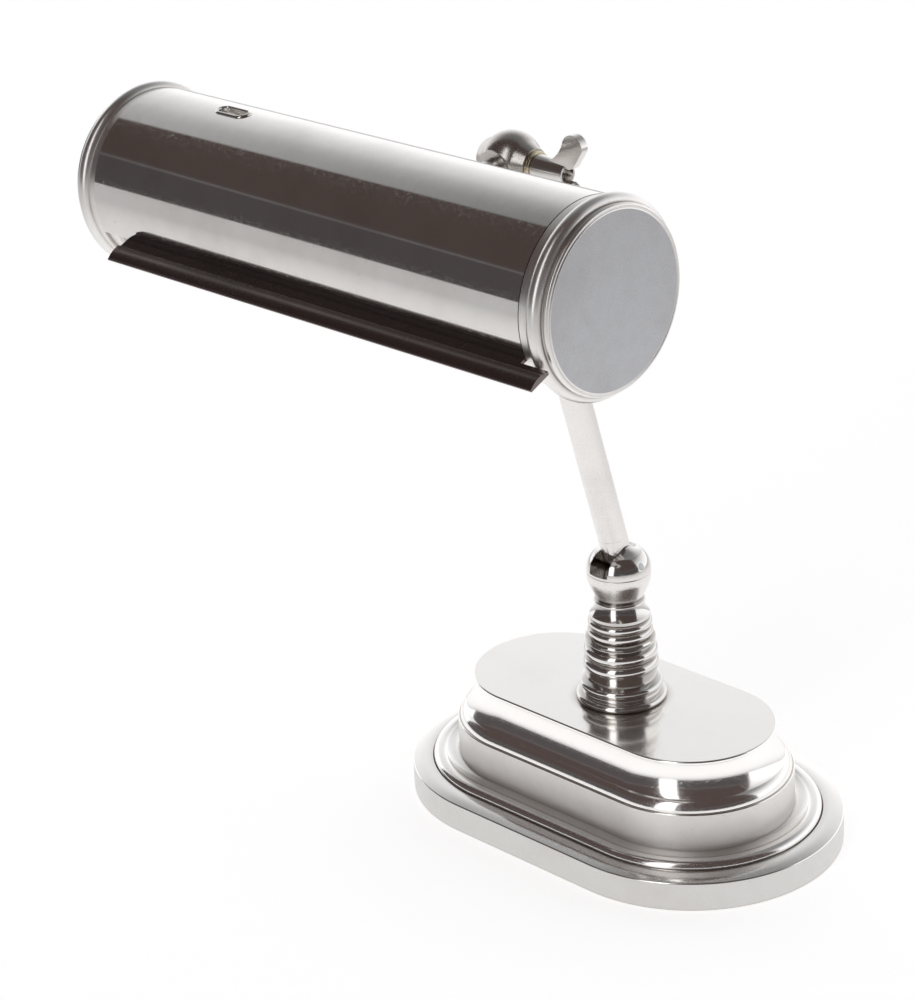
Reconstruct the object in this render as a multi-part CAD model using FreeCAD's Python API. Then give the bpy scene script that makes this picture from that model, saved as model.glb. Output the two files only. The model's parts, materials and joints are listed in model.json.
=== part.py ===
import FreeCAD, Part

import math
import os

# Desk lamp with a stepped oval base, a short turned column, a swivel ball, a leaning arm,
# a clamped knuckle and a horizontal tubular metal shade that is open underneath.
# Millimetres, Z up. The origin is the middle of the base on the table. The shade lies along X
# and reaches towards -Y, the side the user sits on.

# Driving sizes of the base
base_width = 130.0
base_straight = 77.0
base_top_z = 54.3
cover_wall = 3.0
rim_z = 0.8
plinth_top_z = 13.7
bead_crest_z = 17.6
bead_crest_inset = 12.4
band_inset = 20.8
band_bottom_z = 17.0
band_top_z = 33.9
top_inset = 29.0
felt_thickness = 2.0
felt_inset = 3.0
plate_thickness = 2.0
plate_seat_depth = 2.5
weight_step_z = 20.0
weight_gap = 0.5
boss_radius = 4.5
boss_x = 30.0
boss_y = 53.0
screw_radius = 2.0
screw_head_radius = 3.8
screw_head_height = 1.8
screw_length = 7.4
inlet_bore_radius = 2.8
inlet_body_radius = 3.8
inlet_flange_radius = 4.8
inlet_flange_thickness = 1.4
inlet_z = 7.9
channel_width = 12.0

# Driving sizes of the column and its fixing
pipe_radius = 5.0
pipe_wall = 1.0
pipe_below = 9.0
pipe_nut_height = 5.0
pipe_nut_across = 14.0
pipe_washer_radius = 11.0
pipe_washer_thickness = 1.6
column_foot_radius = 19.3
column_neck_radius = 10.4
column_height = 47.6

# Driving sizes of the swivel ball
ball_radius = 13.7
ball_rise = 10.8
seam_above_centre = 0.8
seam_gap = 0.1
cup_web = 3.0
dome_web = 1.1
dome_shoulder_radius = 10.0
dome_shoulder_rise = 8.6
dome_top_radius = 5.0
dome_top_rise = 11.8
dome_slot_width = 9.9
rivet_radius = 3.0
rivet_bore_radius = 1.9
rivet_head_radius = 4.0
rivet_flange_radius = 4.5
rivet_flange_thickness = 1.0
spring_washer_thickness = 0.3
tilt_pin_radius = 1.5
tilt_pin_rise = 4.8
shim_thickness = 0.3
shim_radius = 3.2

# Driving sizes of the arm
arm_lean = 16.4
arm_lean_back_limit = 0.0
arm_lean_front_limit = 65.0
arm_length = 195.75
arm_radius = 6.25
arm_wall = 1.0
tang_thickness = 9.2
tang_tip_radius = 3.4
tang_shoulder = 6.0
tang_shoulder_round = 2.5
tang_top = 13.0
spigot_length = 12.0
cord_hole_radius = 2.5

# Driving sizes of the upper knuckle
knuckle_radius = 12.1
cheek_root_x = 8.0
cheek_x = 12.3
cheek_radius = 7.0
stem_seat = 10.0
stem_seat_radius = 7.6
stem_seat_height = 1.5
stem_spigot = 1.6
slot_width = 7.4
shade_tilt_down = 30.0
shade_tilt_up = 60.0
eye_radius = 7.6
eye_thickness = 7.0
eye_neck_width = 8.4
eye_collar_step = 0.25
eye_collar_bottom = 19.5
bolt_radius = 2.5
bolt_end = 26.0
bolt_head_radius = 4.6
bolt_head_height = 2.8
bolt_slot_width = 1.2
bolt_slot_depth = 1.0
washer_thickness = 1.0
washer_radius_inner = 6.3
washer_radius_outer = 6.1
nut_length = 15.0
nut_radius_inner = 5.4
nut_radius_outer = 4.0
nut_skin = 0.1
nut_mouth_radius = 3.2
nut_mouth_depth = 3.2
wing_thickness = 3.4
wing_root_back = 8.9
wing_lobe_ahead = 4.0
wing_lobe_reach = 11.3
wing_lobe_radius = 5.1
wing_waist_back = 3.8
wing_waist_reach = 7.7
wing_heel_ahead = 4.5
wing_heel_reach = 3.7

# Driving sizes of the stem and the shade
stem_drop = 5.2
stem_length = 80.36
stem_radius = 4.5
stem_bore_radius = 1.9
stem_wire_hole = 18.0
stem_thread_radius = 3.0
stem_collar_radius = 8.0
stem_collar_thickness = 3.0
stem_nut_height = 4.0
stem_nut_across = 10.0
shade_radius = 35.0
shade_wall = 1.0
shade_half_length = 113.0
mouth_half_angle = 60.0
mouth_turn = -11.2
vent_x = -65.0
vent_angle = -1.2
vent_straight = 9.0
vent_radius = 2.6
vent_rim_radius = 4.1
vent_rim_height = 0.7
lip_left_x = -98.5
lip_right_gap = 0.4
lip_past_tube = 12.2
lip_bead_gap = 0.4
lip_hem_out = 4.5
lip_crest_out = 6.0
lip_out = 12.0
lip_rise = 0.9
lip_thickness = 1.4
cap_collar_length = 3.3
cap_collar_inset = 0.15
cap_bead_radius = 3.1
cap_bead_proud = 1.8
cap_depth = 12.4
cap_face_inset = 3.0
cap_step_inset = 0.9
cap_wall = 1.3
cap_skirt_depth = 6.0

# Driving sizes of the lampholder and the bulb
bracket_thickness = 1.5
bracket_width = 14.0
bracket_bend_x = 96.0
bracket_tail_x = -12.0
bracket_reach = 9.0
nipple_radius = 5.0
nipple_nut_height = 3.0
nipple_nut_across = 14.0
holder_base_radius = 11.5
holder_shell_radius = 13.5
holder_base_length = 15.0
holder_length = 38.0
holder_bore_radius = 7.5
holder_bore_depth = 25.0
contact_thickness = 1.0
contact_screw_radius = 1.0
bulb_cap_radius = 7.2
bulb_cap_length = 18.0
bulb_cap_tip_radius = 3.5
bulb_cap_tip_length = 3.0
bulb_radius = 14.0
bulb_neck_radius = 6.6
bulb_length = 128.0
bulb_wall = 0.8
bulb_shoulder_gap = 0.6

# Named clearances
running = 0.05
loose = 0.2
turning = 0.3

# Places that follow from the sizes above
end_x = base_straight / 2
half_width = base_width / 2
plate_z = felt_thickness
seat_z = felt_thickness + plate_thickness
roof_z = plinth_top_z - cover_wall
ceiling_z = base_top_z - cover_wall
plinth_inside = half_width - plate_seat_depth - cover_wall / 2
column_top_z = base_top_z + column_height
ball_z = column_top_z + ball_rise
cup_top_z = ball_z + seam_above_centre
dome_bottom_z = cup_top_z + seam_gap
tilt_z = dome_bottom_z + tilt_pin_rise
lean = math.radians(arm_lean)
knuckle_y = -arm_length * math.sin(lean)
knuckle_z = tilt_z + arm_length * math.cos(lean)
stem_to_arm = 90.0 + arm_lean - stem_drop
drop = math.radians(stem_drop)
shade_y = knuckle_y - stem_length * math.cos(drop)
shade_z = knuckle_z - stem_length * math.sin(drop)
X_AXIS = FreeCAD.Vector(1, 0, 0)
Y_AXIS = FreeCAD.Vector(0, 1, 0)
Z_AXIS = FreeCAD.Vector(0, 0, 1)
ORIGIN = FreeCAD.Vector(0, 0, 0)


def at(x, y, z):
    return FreeCAD.Vector(x, y, z)


def line(start, end):
    return Part.LineSegment(start, end).toShape()


def arc(start, middle, end):
    return Part.Arc(start, middle, end).toShape()


def half_section(outline):
    """A closed face in the XZ half plane from steps of points; a step of two is an arc."""
    edges = []
    here = at(outline[0][0], 0, outline[0][1])
    first = here
    for step in outline[1:]:
        if len(step) == 4:
            end = at(step[2], 0, step[3])
            edges.append(arc(here, at(step[0], 0, step[1]), end))
        else:
            end = at(step[0], 0, step[1])
            edges.append(line(here, end))
        here = end
    edges.append(line(here, first))
    return Part.Face(Part.Wire(edges))


def turned(outline):
    """A solid turned about Z from its half section."""
    return half_section(outline).revolve(ORIGIN, Z_AXIS, 360)


def oval(outline):
    """The half section swept round the base's oval: two half turns and two straights."""
    face = half_section(outline)
    half_turn = face.revolve(ORIGIN, Z_AXIS, 180)
    left = half_turn.rotated(ORIGIN, Z_AXIS, 90).translated(at(-end_x, 0, 0))
    right = half_turn.rotated(ORIGIN, Z_AXIS, -90).translated(at(end_x, 0, 0))
    front = face.rotated(ORIGIN, Z_AXIS, -90).translated(at(-end_x, 0, 0)).extrude(X_AXIS * base_straight)
    back = face.rotated(ORIGIN, Z_AXIS, 90).translated(at(-end_x, 0, 0)).extrude(X_AXIS * base_straight)
    return left.fuse([right, front, back]).removeSplitter()


def slab(radius, z_low, z_high):
    """A plain oval slab of the given half width."""
    return oval([(0, z_low), (radius, z_low), (radius, z_high), (0, z_high)])


def rod(radius, length, base, direction):
    return Part.makeCylinder(radius, length, base, direction)


def rod_z(radius, z_low, z_high, x=0.0, y=0.0):
    return rod(radius, z_high - z_low, at(x, y, z_low), Z_AXIS)


def rod_x(radius, x_low, x_high, y=0.0, z=0.0):
    return rod(radius, x_high - x_low, at(x_low, y, z), X_AXIS)


def rod_y(radius, y_low, y_high, x=0.0, z=0.0):
    return rod(radius, y_high - y_low, at(x, y_low, z), Y_AXIS)


def slot_z(radius, straight, z_low, z_high, x):
    """A bar with round ends, long along X, standing from z_low to z_high."""
    middle = block(x - straight / 2, x + straight / 2, -radius, radius, z_low, z_high)
    ends = [rod_z(radius, z_low, z_high, x + side * straight / 2) for side in (-1, 1)]
    return middle.fuse(ends).removeSplitter()


def block(x_low, x_high, y_low, y_high, z_low, z_high):
    return Part.makeBox(x_high - x_low, y_high - y_low, z_high - z_low, at(x_low, y_low, z_low))


def hexagon(across, height, base, direction):
    """A six-sided prism, such as a nut's outside."""
    corner = across / math.sqrt(3)
    points = [at(corner * math.cos(i * math.pi / 3), corner * math.sin(i * math.pi / 3), 0) for i in range(7)]
    prism = Part.Face(Part.makePolygon(points)).extrude(Z_AXIS * height)
    prism.Placement = FreeCAD.Placement(base, FreeCAD.Rotation(Z_AXIS, direction))
    return prism


def leaning(shape):
    """From the arm's own frame, tilt pin at the origin and arm along Z, to the lamp's frame."""
    return shape.rotated(ORIGIN, X_AXIS, arm_lean).translated(at(0, 0, tilt_z))


def on_knuckle(shape):
    """From a frame on the knuckle bolt to the lamp's frame."""
    return shape.translated(at(0, knuckle_y, knuckle_z))


def on_shade(shape):
    """From the shade's own frame, axis along X and stem on +Y, to the lamp's frame."""
    return shape.rotated(ORIGIN, X_AXIS, stem_drop).translated(at(0, shade_y, shade_z))


def on_holder_side(shape):
    """From a frame whose +X end carries the lampholder to the lamp's frame, where it is at -X."""
    return on_shade(shape.mirror(ORIGIN, X_AXIS))


def base_outline():
    """The outside of the base from its rim up to its top."""
    band = half_width - band_inset
    crest = half_width - bead_crest_inset
    top = half_width - top_inset
    return [
        (0, rim_z),
        (half_width, rim_z),
        (half_width, plinth_top_z - 0.6),
        (half_width - 0.2, plinth_top_z - 0.2, half_width - 0.6, plinth_top_z),
        (half_width - 5.0, plinth_top_z + 0.8, half_width - 8.8, plinth_top_z + 0.9),
        (half_width - 9.4, plinth_top_z + 0.3),
        (crest + 2.2, bead_crest_z - 0.9, crest, bead_crest_z),
        (crest - 1.8, bead_crest_z - 0.1, crest - 2.9, bead_crest_z - 0.7),
        (band + 2.8, band_bottom_z - 0.6, band + 0.6, band_bottom_z - 0.1),
        (band, band_bottom_z),
        (band, band_top_z - 0.6),
        (band - 0.2, band_top_z - 0.2, band - 0.6, band_top_z),
        (band - 1.0, band_top_z),
        (band - 1.8, band_top_z + 2.6, band - 4.2, band_top_z + 5.0),
        (top + 1.0, band_top_z + 10.4, top + 0.1, base_top_z - 1.7),
        (top + 0.5, base_top_z - 1.3),
        (top + 0.5, base_top_z - 0.6),
        (top + 0.3, base_top_z - 0.2, top - 0.1, base_top_z),
        (0, base_top_z),
    ]


def plate_screw_places():
    return [(sx * boss_x, sy * boss_y) for sx in (-1, 1) for sy in (-1, 1)]


def base_cover():
    """The cast outside of the base, hollow, with bosses for the bottom plate's screws."""
    cover = oval(base_outline())
    band = half_width - band_inset
    top = half_width - top_inset
    seat = slab(half_width - plate_seat_depth, 0, seat_z)
    wide = slab(plinth_inside, 0, roof_z)
    narrow = slab(band - cover_wall, 0, band_top_z)
    upper = slab(top - cover_wall, 0, ceiling_z)
    cover = cover.cut([seat, wide, narrow, upper])
    for x, y in plate_screw_places():
        cover = cover.fuse(rod_z(boss_radius, seat_z, roof_z + cover_wall / 2, x, y))
    for x, y in plate_screw_places():
        cover = cover.cut(rod_z(screw_radius + running, 0, plate_z + screw_length + turning, x, y))
    cover = cover.cut(rod_z(pipe_radius + loose, ceiling_z - 1, base_top_z + 1))
    return cover.cut(rod_y(inlet_body_radius + 0.02, plinth_inside - 1, half_width + 1, 0, inlet_z))


def base_weight():
    """The iron ballast: a wide foot under the plinth and a block under the band."""
    band = half_width - band_inset
    weight = slab(plinth_inside - weight_gap, seat_z, roof_z - weight_gap)
    weight = weight.fuse(slab(band - cover_wall - weight_gap, seat_z, weight_step_z)).removeSplitter()
    for x, y in plate_screw_places():
        weight = weight.cut(rod_z(boss_radius + weight_gap, 0, weight_step_z + 1, x, y))
    weight = weight.cut(rod_z(channel_width, 0, weight_step_z + 1))
    half = channel_width / 2
    return weight.cut(block(-half, half, 0, half_width, seat_z - 1, weight_step_z + 1))


def bottom_plate():
    """The steel plate that closes the base, let into its rim."""
    plate = slab(half_width - plate_seat_depth - loose, plate_z, seat_z)
    for x, y in plate_screw_places():
        plate = plate.cut(rod_z(screw_radius + loose, 0, seat_z + 1, x, y))
        cone = Part.makeCone(screw_head_radius + loose, screw_radius + loose, screw_head_height)
        plate = plate.cut(cone.translated(at(x, y, plate_z)))
    return plate


def felt_pad():
    """The felt that the lamp stands on."""
    return slab(half_width - felt_inset, 0, felt_thickness)


def plate_screws():
    """Four countersunk screws that hold the bottom plate to the cover's bosses."""
    screws = []
    for x, y in plate_screw_places():
        head = Part.makeCone(screw_head_radius, screw_radius, screw_head_height)
        shank = rod_z(screw_radius, 0, screw_length)
        screw = head.fuse(shank).removeSplitter()
        slot = block(-screw_head_radius, screw_head_radius, -0.5, 0.5, -1, 0.9)
        screws.append(screw.cut(slot).translated(at(x, y, plate_z + 0.05)))
    return Part.makeCompound(screws)


def cord_inlet():
    """The bush pressed into the back of the plinth that the mains cord would pass through."""
    body = rod_y(inlet_body_radius, plinth_inside, half_width, 0, inlet_z)
    flange = rod_y(inlet_flange_radius, half_width, half_width + inlet_flange_thickness, 0, inlet_z)
    flange = flange.makeFillet(inlet_flange_thickness / 2, [flange.Edges[0]])
    bush = body.fuse(flange).removeSplitter()
    return bush.cut(rod_y(inlet_bore_radius, 0, half_width + 10, 0, inlet_z))


def column_outline():
    """The turned outside of the column, from its foot to the neck under the ball."""
    z = base_top_z
    foot = column_foot_radius
    neck = column_neck_radius
    return [
        (pipe_radius + loose, z),
        (foot - 0.6, z),
        (foot + 0.2, z + 1.6, foot - 0.8, z + 3.2),
        (foot - 2.4, z + 3.7),
        (foot - 2.9, z + 4.8, foot - 1.9, z + 6.0),
        (foot - 1.1, z + 7.6, foot - 2.2, z + 9.3),
        (foot - 4.1, z + 10.0),
        (foot - 3.6, z + 14.6),
        (foot - 2.9, z + 16.6, foot - 4.0, z + 19.2),
        (foot - 4.9, z + 19.6),
        (foot - 3.3, z + 22.3, foot - 4.4, z + 24.9),
        (foot - 5.3, z + 25.4),
        (foot - 4.3, z + 27.3),
        (foot - 4.1, z + 28.2),
        (foot - 4.4, z + 29.0),
        (foot - 6.2, z + 29.4),
        (foot - 5.2, z + 31.4, foot - 5.9, z + 33.3),
        (foot - 6.8, z + 33.7),
        (foot - 5.5, z + 35.4, foot - 6.3, z + 37.3),
        (foot - 7.2, z + 37.7),
        (foot - 6.3, z + 38.5),
        (foot - 6.5, z + 39.7),
        (neck + 1.0, z + 41.6, neck - 0.2, z + 44.8),
        (neck + 0.6, z + 45.8, neck - 0.1, z + 46.5),
        (neck - 0.8, z + 46.9),
        (neck - 0.3, z + column_height),
        (pipe_radius + loose, z + column_height),
    ]


def column():
    return turned(column_outline())


def threaded_pipe():
    """The hollow pipe that clamps the base, the column and the cup together."""
    top = cup_top_z - cup_web - rivet_flange_thickness - spring_washer_thickness - 1.2
    low = ceiling_z - pipe_below
    return rod_z(pipe_radius, low, top).cut(rod_z(pipe_radius - pipe_wall, low - 1, top + 1))


def pipe_washer():
    washer = rod_z(pipe_washer_radius, ceiling_z - pipe_washer_thickness, ceiling_z)
    return washer.cut(rod_z(pipe_radius + loose, 0, base_top_z))


def pipe_nut():
    top = ceiling_z - pipe_washer_thickness
    nut = hexagon(pipe_nut_across, pipe_nut_height, at(0, 0, top - pipe_nut_height), Z_AXIS)
    return nut.cut(rod_z(pipe_radius + running, 0, base_top_z))


def swivel_cup():
    """The lower half of the ball, screwed on the pipe and flat on top."""
    z = column_top_z
    lower_radius = ball_radius - 2.0
    outline = [
        (0, z),
        (column_neck_radius - 0.3, z),
        (column_neck_radius + 0.1, z + 0.6),
        (lower_radius, z + 3.2, ball_radius - 0.4, z + 7.4),
        (ball_radius - 0.1, z + 9.0, ball_radius, cup_top_z),
        (0, cup_top_z),
    ]
    cup = turned(outline)
    cup = cup.cut(rod_z(pipe_radius + running, z - 1, cup_top_z - cup_web))
    return cup.cut(rod_z(rivet_radius + running, z, cup_top_z + 1))


def dome_body():
    """The upper half of the ball before its slot and holes are cut."""
    outline = [
        (0, dome_bottom_z),
        (ball_radius, dome_bottom_z),
        (ball_radius - 1.0, dome_bottom_z + 5.2, dome_shoulder_radius, dome_bottom_z + dome_shoulder_rise),
        (dome_top_radius + 2.2, dome_bottom_z + dome_shoulder_rise + 1.2, dome_top_radius,
         dome_bottom_z + dome_top_rise),
        (0, dome_bottom_z + dome_top_rise),
    ]
    return turned(outline)


def swivel_dome():
    """The upper half of the ball, slotted from the front for the arm's tang."""
    half = dome_slot_width / 2
    floor = dome_bottom_z + dome_web
    back = tang_tip_radius + 0.6
    slot = block(-half, half, -2 * ball_radius, back, floor, tilt_z + 2 * ball_radius)
    shoulder_back = arm_radius + turning
    shoulder_low = tilt_z + tang_shoulder - 0.7
    high = block(-half, half, 0, shoulder_back, shoulder_low, tilt_z + 2 * ball_radius)
    dome = dome_body().cut([slot, high])
    dome = dome.cut(rod_x(tilt_pin_radius + 0.02, -2 * ball_radius, 2 * ball_radius, 0, tilt_z))
    head = Part.makeCone(rivet_radius + running, rivet_head_radius + running, dome_web)
    return dome.cut(head.translated(at(0, 0, dome_bottom_z)))


def swivel_rivet():
    """The hollow rivet that the upper half of the ball turns on, flush in its floor."""
    web_low = cup_top_z - cup_web
    low = web_low - spring_washer_thickness - rivet_flange_thickness
    head = Part.makeCone(rivet_radius, rivet_head_radius, dome_web).translated(at(0, 0, dome_bottom_z))
    shank = rod_z(rivet_radius, low, dome_bottom_z)
    flange = rod_z(rivet_flange_radius, low, low + rivet_flange_thickness)
    rivet = head.fuse([shank, flange]).removeSplitter()
    return rivet.cut(rod_z(rivet_bore_radius, low - 1, dome_bottom_z + dome_web + 1))


def swivel_spring():
    """The spring washer that keeps the swivel stiff."""
    top = cup_top_z - cup_web
    ring = rod_z(rivet_flange_radius, top - spring_washer_thickness, top)
    return ring.cut(rod_z(rivet_radius + running, 0, top + 1))


def tilt_pin():
    """The cross pin of the arm's lower joint, trimmed flush with the ball."""
    pin = rod_x(tilt_pin_radius, -2 * ball_radius, 2 * ball_radius, 0, tilt_z)
    return pin.common(dome_body())


def tilt_shims():
    """Two brass shims between the tang and the sides of the slot."""
    shims = []
    start = tang_thickness / 2 + running / 2
    for side in (-1, 1):
        low = min(side * start, side * (start + shim_thickness))
        shim = rod_x(shim_radius, low, low + shim_thickness, 0, tilt_z)
        shims.append(shim.cut(rod_x(tilt_pin_radius + running, -ball_radius, ball_radius, 0, tilt_z)))
    return Part.makeCompound(shims)


def arm_tang():
    """The arm's lower end: a round shank with two flats, narrowed to a tongue on the tilt pin."""
    half = tang_thickness / 2
    tip = tang_tip_radius
    r = arm_radius
    low = tang_shoulder
    turn = tang_shoulder_round
    inner = turn * (1 - math.sqrt(0.5))
    edges = [
        line(at(0, -tip, 0), at(0, -tip, low)),
        line(at(0, -tip, low), at(0, -r + turn, low)),
        arc(at(0, -r + turn, low), at(0, -r + inner, low + inner), at(0, -r, low + turn)),
        line(at(0, -r, low + turn), at(0, -r, tang_top)),
        line(at(0, -r, tang_top), at(0, r, tang_top)),
        line(at(0, r, tang_top), at(0, r, low + turn)),
        arc(at(0, r, low + turn), at(0, r - inner, low + inner), at(0, r - turn, low)),
        line(at(0, r - turn, low), at(0, tip, low)),
        line(at(0, tip, low), at(0, tip, 0)),
        arc(at(0, tip, 0), at(0, 0, -tip), at(0, -tip, 0)),
    ]
    tang = Part.Face(Part.Wire(edges)).extrude(X_AXIS * tang_thickness).translated(at(-half, 0, 0))
    tang = tang.common(rod_z(r, -2 * r, tang_top + 1))
    spigot = rod_z(r - arm_wall - running, tang_top, tang_top + spigot_length)
    tang = tang.fuse(spigot)
    tang = tang.cut(rod_x(tilt_pin_radius + running, -half - 1, half + 1))
    tang = tang.cut(rod_z(cord_hole_radius, low + 2.0, tang_top + spigot_length + 1))
    exit_hole = rod_y(cord_hole_radius, 0, 2 * r, 0, low + 4.0)
    return leaning(tang.cut(exit_hole))


def arm_tube():
    """The plain round tube of the arm."""
    low = tang_top
    high = arm_length - eye_collar_bottom
    tube = rod_z(arm_radius, low, high).cut(rod_z(arm_radius - arm_wall, low - 1, high + 1))
    return leaning(tube)


def on_stem(shape):
    """From a frame on the knuckle bolt whose -Y points along the stem to the lamp's frame."""
    return on_knuckle(shape.rotated(ORIGIN, X_AXIS, stem_drop))


def arm_eye():
    """The arm's upper end: an eye on the bolt, a flat neck, a collar and a spigot in the tube."""
    half = eye_thickness / 2
    side = eye_neck_width / 2
    collar_top = -knuckle_radius - turning
    spigot_low = -eye_collar_bottom - spigot_length
    eye = rod_x(eye_radius, -half, half)
    neck = block(-half, half, -side, side, collar_top - 1, 0)
    collar = rod_z(arm_radius + eye_collar_step, -eye_collar_bottom, collar_top)
    spigot = rod_z(arm_radius - arm_wall - running, spigot_low, -eye_collar_bottom)
    eye = eye.fuse([neck, collar, spigot]).removeSplitter()
    eye = eye.cut(rod_x(bolt_radius + running, -half - 1, half + 1))
    wire_z = (collar_top - eye_collar_bottom) / 2
    eye = eye.cut(rod_z(cord_hole_radius, spigot_low - 1, wire_z))
    eye = eye.cut(rod_y(cord_hole_radius, -2 * arm_radius, 0, 0, wire_z))
    return leaning(eye.translated(at(0, 0, arm_length)))


def eye_slot():
    """The room in the ball for the arm's eye and for its neck over the whole tilt."""
    half = slot_width / 2
    side = eye_neck_width / 2 + turning
    reach = 2 * knuckle_radius
    nearest = stem_to_arm - shade_tilt_down
    furthest = stem_to_arm + shade_tilt_up
    pocket = rod_x(eye_radius + turning, -half, half)
    sweep = Part.makeCylinder(reach, slot_width, at(0, 0, -half), Z_AXIS, furthest - nearest)
    sweep = sweep.rotated(ORIGIN, Y_AXIS, 90).rotated(ORIGIN, X_AXIS, nearest - 90)
    lane = block(-half, half, -side, side, -reach, 0)
    first = lane.rotated(ORIGIN, X_AXIS, nearest - 90)
    last = lane.rotated(ORIGIN, X_AXIS, furthest - 90)
    return pocket.fuse([sweep, first, last])


def knuckle_ball():
    """The upper ball, carried by the stem: two cheeks for the bolt and a slot for the arm's eye."""
    r = knuckle_radius
    root = math.sqrt(r * r - cheek_root_x * cheek_root_x)
    ball = turned([
        (0, -cheek_x),
        (cheek_radius, -cheek_x),
        (root, -cheek_root_x),
        (r, 0, root, cheek_root_x),
        (cheek_radius, cheek_x),
        (0, cheek_x),
    ]).rotated(ORIGIN, Y_AXIS, 90)
    ball = ball.cut(block(-2 * r, 2 * r, -2 * r, -stem_seat, -2 * r, 2 * r))
    ball = ball.fuse(rod_y(stem_seat_radius, -stem_seat, -stem_seat + stem_seat_height)).removeSplitter()
    ball = ball.cut(rod_y(stem_thread_radius + running, -2 * r, -stem_seat + stem_spigot + running))
    ball = ball.cut(rod_x(bolt_radius + running, -2 * r, 2 * r))
    return on_stem(ball.cut(eye_slot()))


def knuckle_bolt():
    """The clamping bolt through the knuckle, with a slotted round head on the left."""
    shank = rod_x(bolt_radius, -cheek_x, bolt_end)
    head = rod_x(bolt_head_radius, -cheek_x - bolt_head_height, -cheek_x)
    head = head.makeFillet(bolt_head_height / 2, [e for e in head.Edges if e.BoundBox.XMax < -cheek_x - 1
                                                  and e.BoundBox.YLength > bolt_head_radius])
    bolt = shank.fuse(head).removeSplitter()
    tip = -cheek_x - bolt_head_height
    half = bolt_slot_width / 2
    return on_knuckle(bolt.cut(block(tip - 1, tip + bolt_slot_depth, -half, half, -9, 9)))


def knuckle_washers():
    """Two brass washers under the wing nut."""
    washers = []
    for index, radius in enumerate((washer_radius_inner, washer_radius_outer)):
        low = cheek_x + index * washer_thickness
        ring = rod_x(radius, low, low + washer_thickness)
        washers.append(ring.cut(rod_x(bolt_radius + loose, 0, bolt_end)))
    return on_knuckle(Part.makeCompound(washers))


def wing():
    """One ear of the wing nut: a round lobe on a waisted root, standing up in the XZ plane."""
    end = cheek_x + 2 * washer_thickness + nut_skin + nut_length
    root = end - wing_root_back
    low = nut_radius_outer / 3

    def lobe(angle):
        across = wing_lobe_radius * math.cos(math.radians(angle))
        up = wing_lobe_radius * math.sin(math.radians(angle))
        return at(end + wing_lobe_ahead + across, 0, wing_lobe_reach + up)

    foot = at(root, 0, low)
    shoulder = at(root, 0, nut_radius_outer + nut_skin)
    waist = at(end - wing_waist_back, 0, wing_waist_reach)
    heel = at(end + wing_heel_ahead, 0, wing_heel_reach)
    toe = at(end, 0, low)
    edges = [
        line(toe, foot),
        line(foot, shoulder),
        arc(shoulder, waist, lobe(169)),
        arc(lobe(169), lobe(90), lobe(-8)),
        line(lobe(-8), heel),
        line(heel, toe),
    ]
    ear = Part.Face(Part.Wire(edges)).extrude(Y_AXIS * wing_thickness)
    return ear.translated(at(0, -wing_thickness / 2, 0))


def wing_nut():
    """The long hub and two ears that clamp the knuckle by hand."""
    start = cheek_x + 2 * washer_thickness + nut_skin
    hub = Part.makeCone(nut_radius_inner, nut_radius_outer, nut_length, at(start, 0, 0), X_AXIS)
    up = wing()
    down = up.rotated(ORIGIN, X_AXIS, 180)
    nut = hub.fuse([up, down]).removeSplitter()
    end = start + nut_length
    mouth = rod_x(nut_mouth_radius, end - nut_mouth_depth, end + wing_lobe_reach)
    return on_knuckle(nut.cut([mouth, rod_x(bolt_radius + running, 0, end)]))


def shade_stem():
    """The stem between the ball and the shade: a hollow rod with a spigot and a threaded end."""
    collar_face = stem_length - shade_radius
    inside = shade_radius - shade_wall - 8.0
    spigot = rod_y(stem_thread_radius, -stem_seat, -stem_seat + stem_spigot)
    straight = rod_y(stem_radius, -collar_face + 0.6, -stem_seat)
    thread = rod_y(stem_thread_radius, -stem_length + inside, -collar_face + 1.6)
    stem = straight.fuse([spigot, thread]).removeSplitter()
    stem = stem.cut(rod_y(stem_bore_radius, -stem_length, -stem_wire_hole + stem_bore_radius))
    side_hole = rod_z(stem_bore_radius - loose, -2 * stem_radius, 0, 0, -stem_wire_hole)
    return on_stem(stem.cut(side_hole))


def stem_collar():
    """The saddle washer that seats the stem on the back of the shade."""
    ring = rod_y(stem_collar_radius, shade_radius - 1.5, shade_radius + stem_collar_thickness)
    ring = ring.cut(rod_x(shade_radius + 0.02, -50, 50))
    seat = rod_y(stem_radius + running, shade_radius + 0.6, shade_radius + 20)
    bore = rod_y(stem_thread_radius + running, 0, shade_radius + 20)
    return on_shade(ring.cut([seat, bore]))


def stem_nut():
    """The nut inside the shade that clamps the bracket and the stem."""
    seat = bracket_back_y() - bracket_thickness
    nut = hexagon(stem_nut_across, stem_nut_height, at(0, seat - stem_nut_height, 0), Y_AXIS)
    return on_shade(nut.cut(rod_y(stem_thread_radius + running, 0, shade_radius)))


def bracket_back_y():
    """Where the flat bracket meets the round inside of the shade."""
    inside = shade_radius - shade_wall
    half = bracket_width / 2
    return math.sqrt(inside * inside - half * half) - 0.02


def mouth_wedge():
    """A wedge about the shade's axis, open downwards, used to cut the shade's mouth."""
    length = 3 * shade_half_length
    wedge = Part.makeCylinder(2 * shade_radius, length, at(0, 0, -length / 2), Z_AXIS, 2 * mouth_half_angle)
    wedge = wedge.rotated(ORIGIN, Y_AXIS, 90)
    return wedge.rotated(ORIGIN, X_AXIS, mouth_turn - mouth_half_angle)


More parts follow.
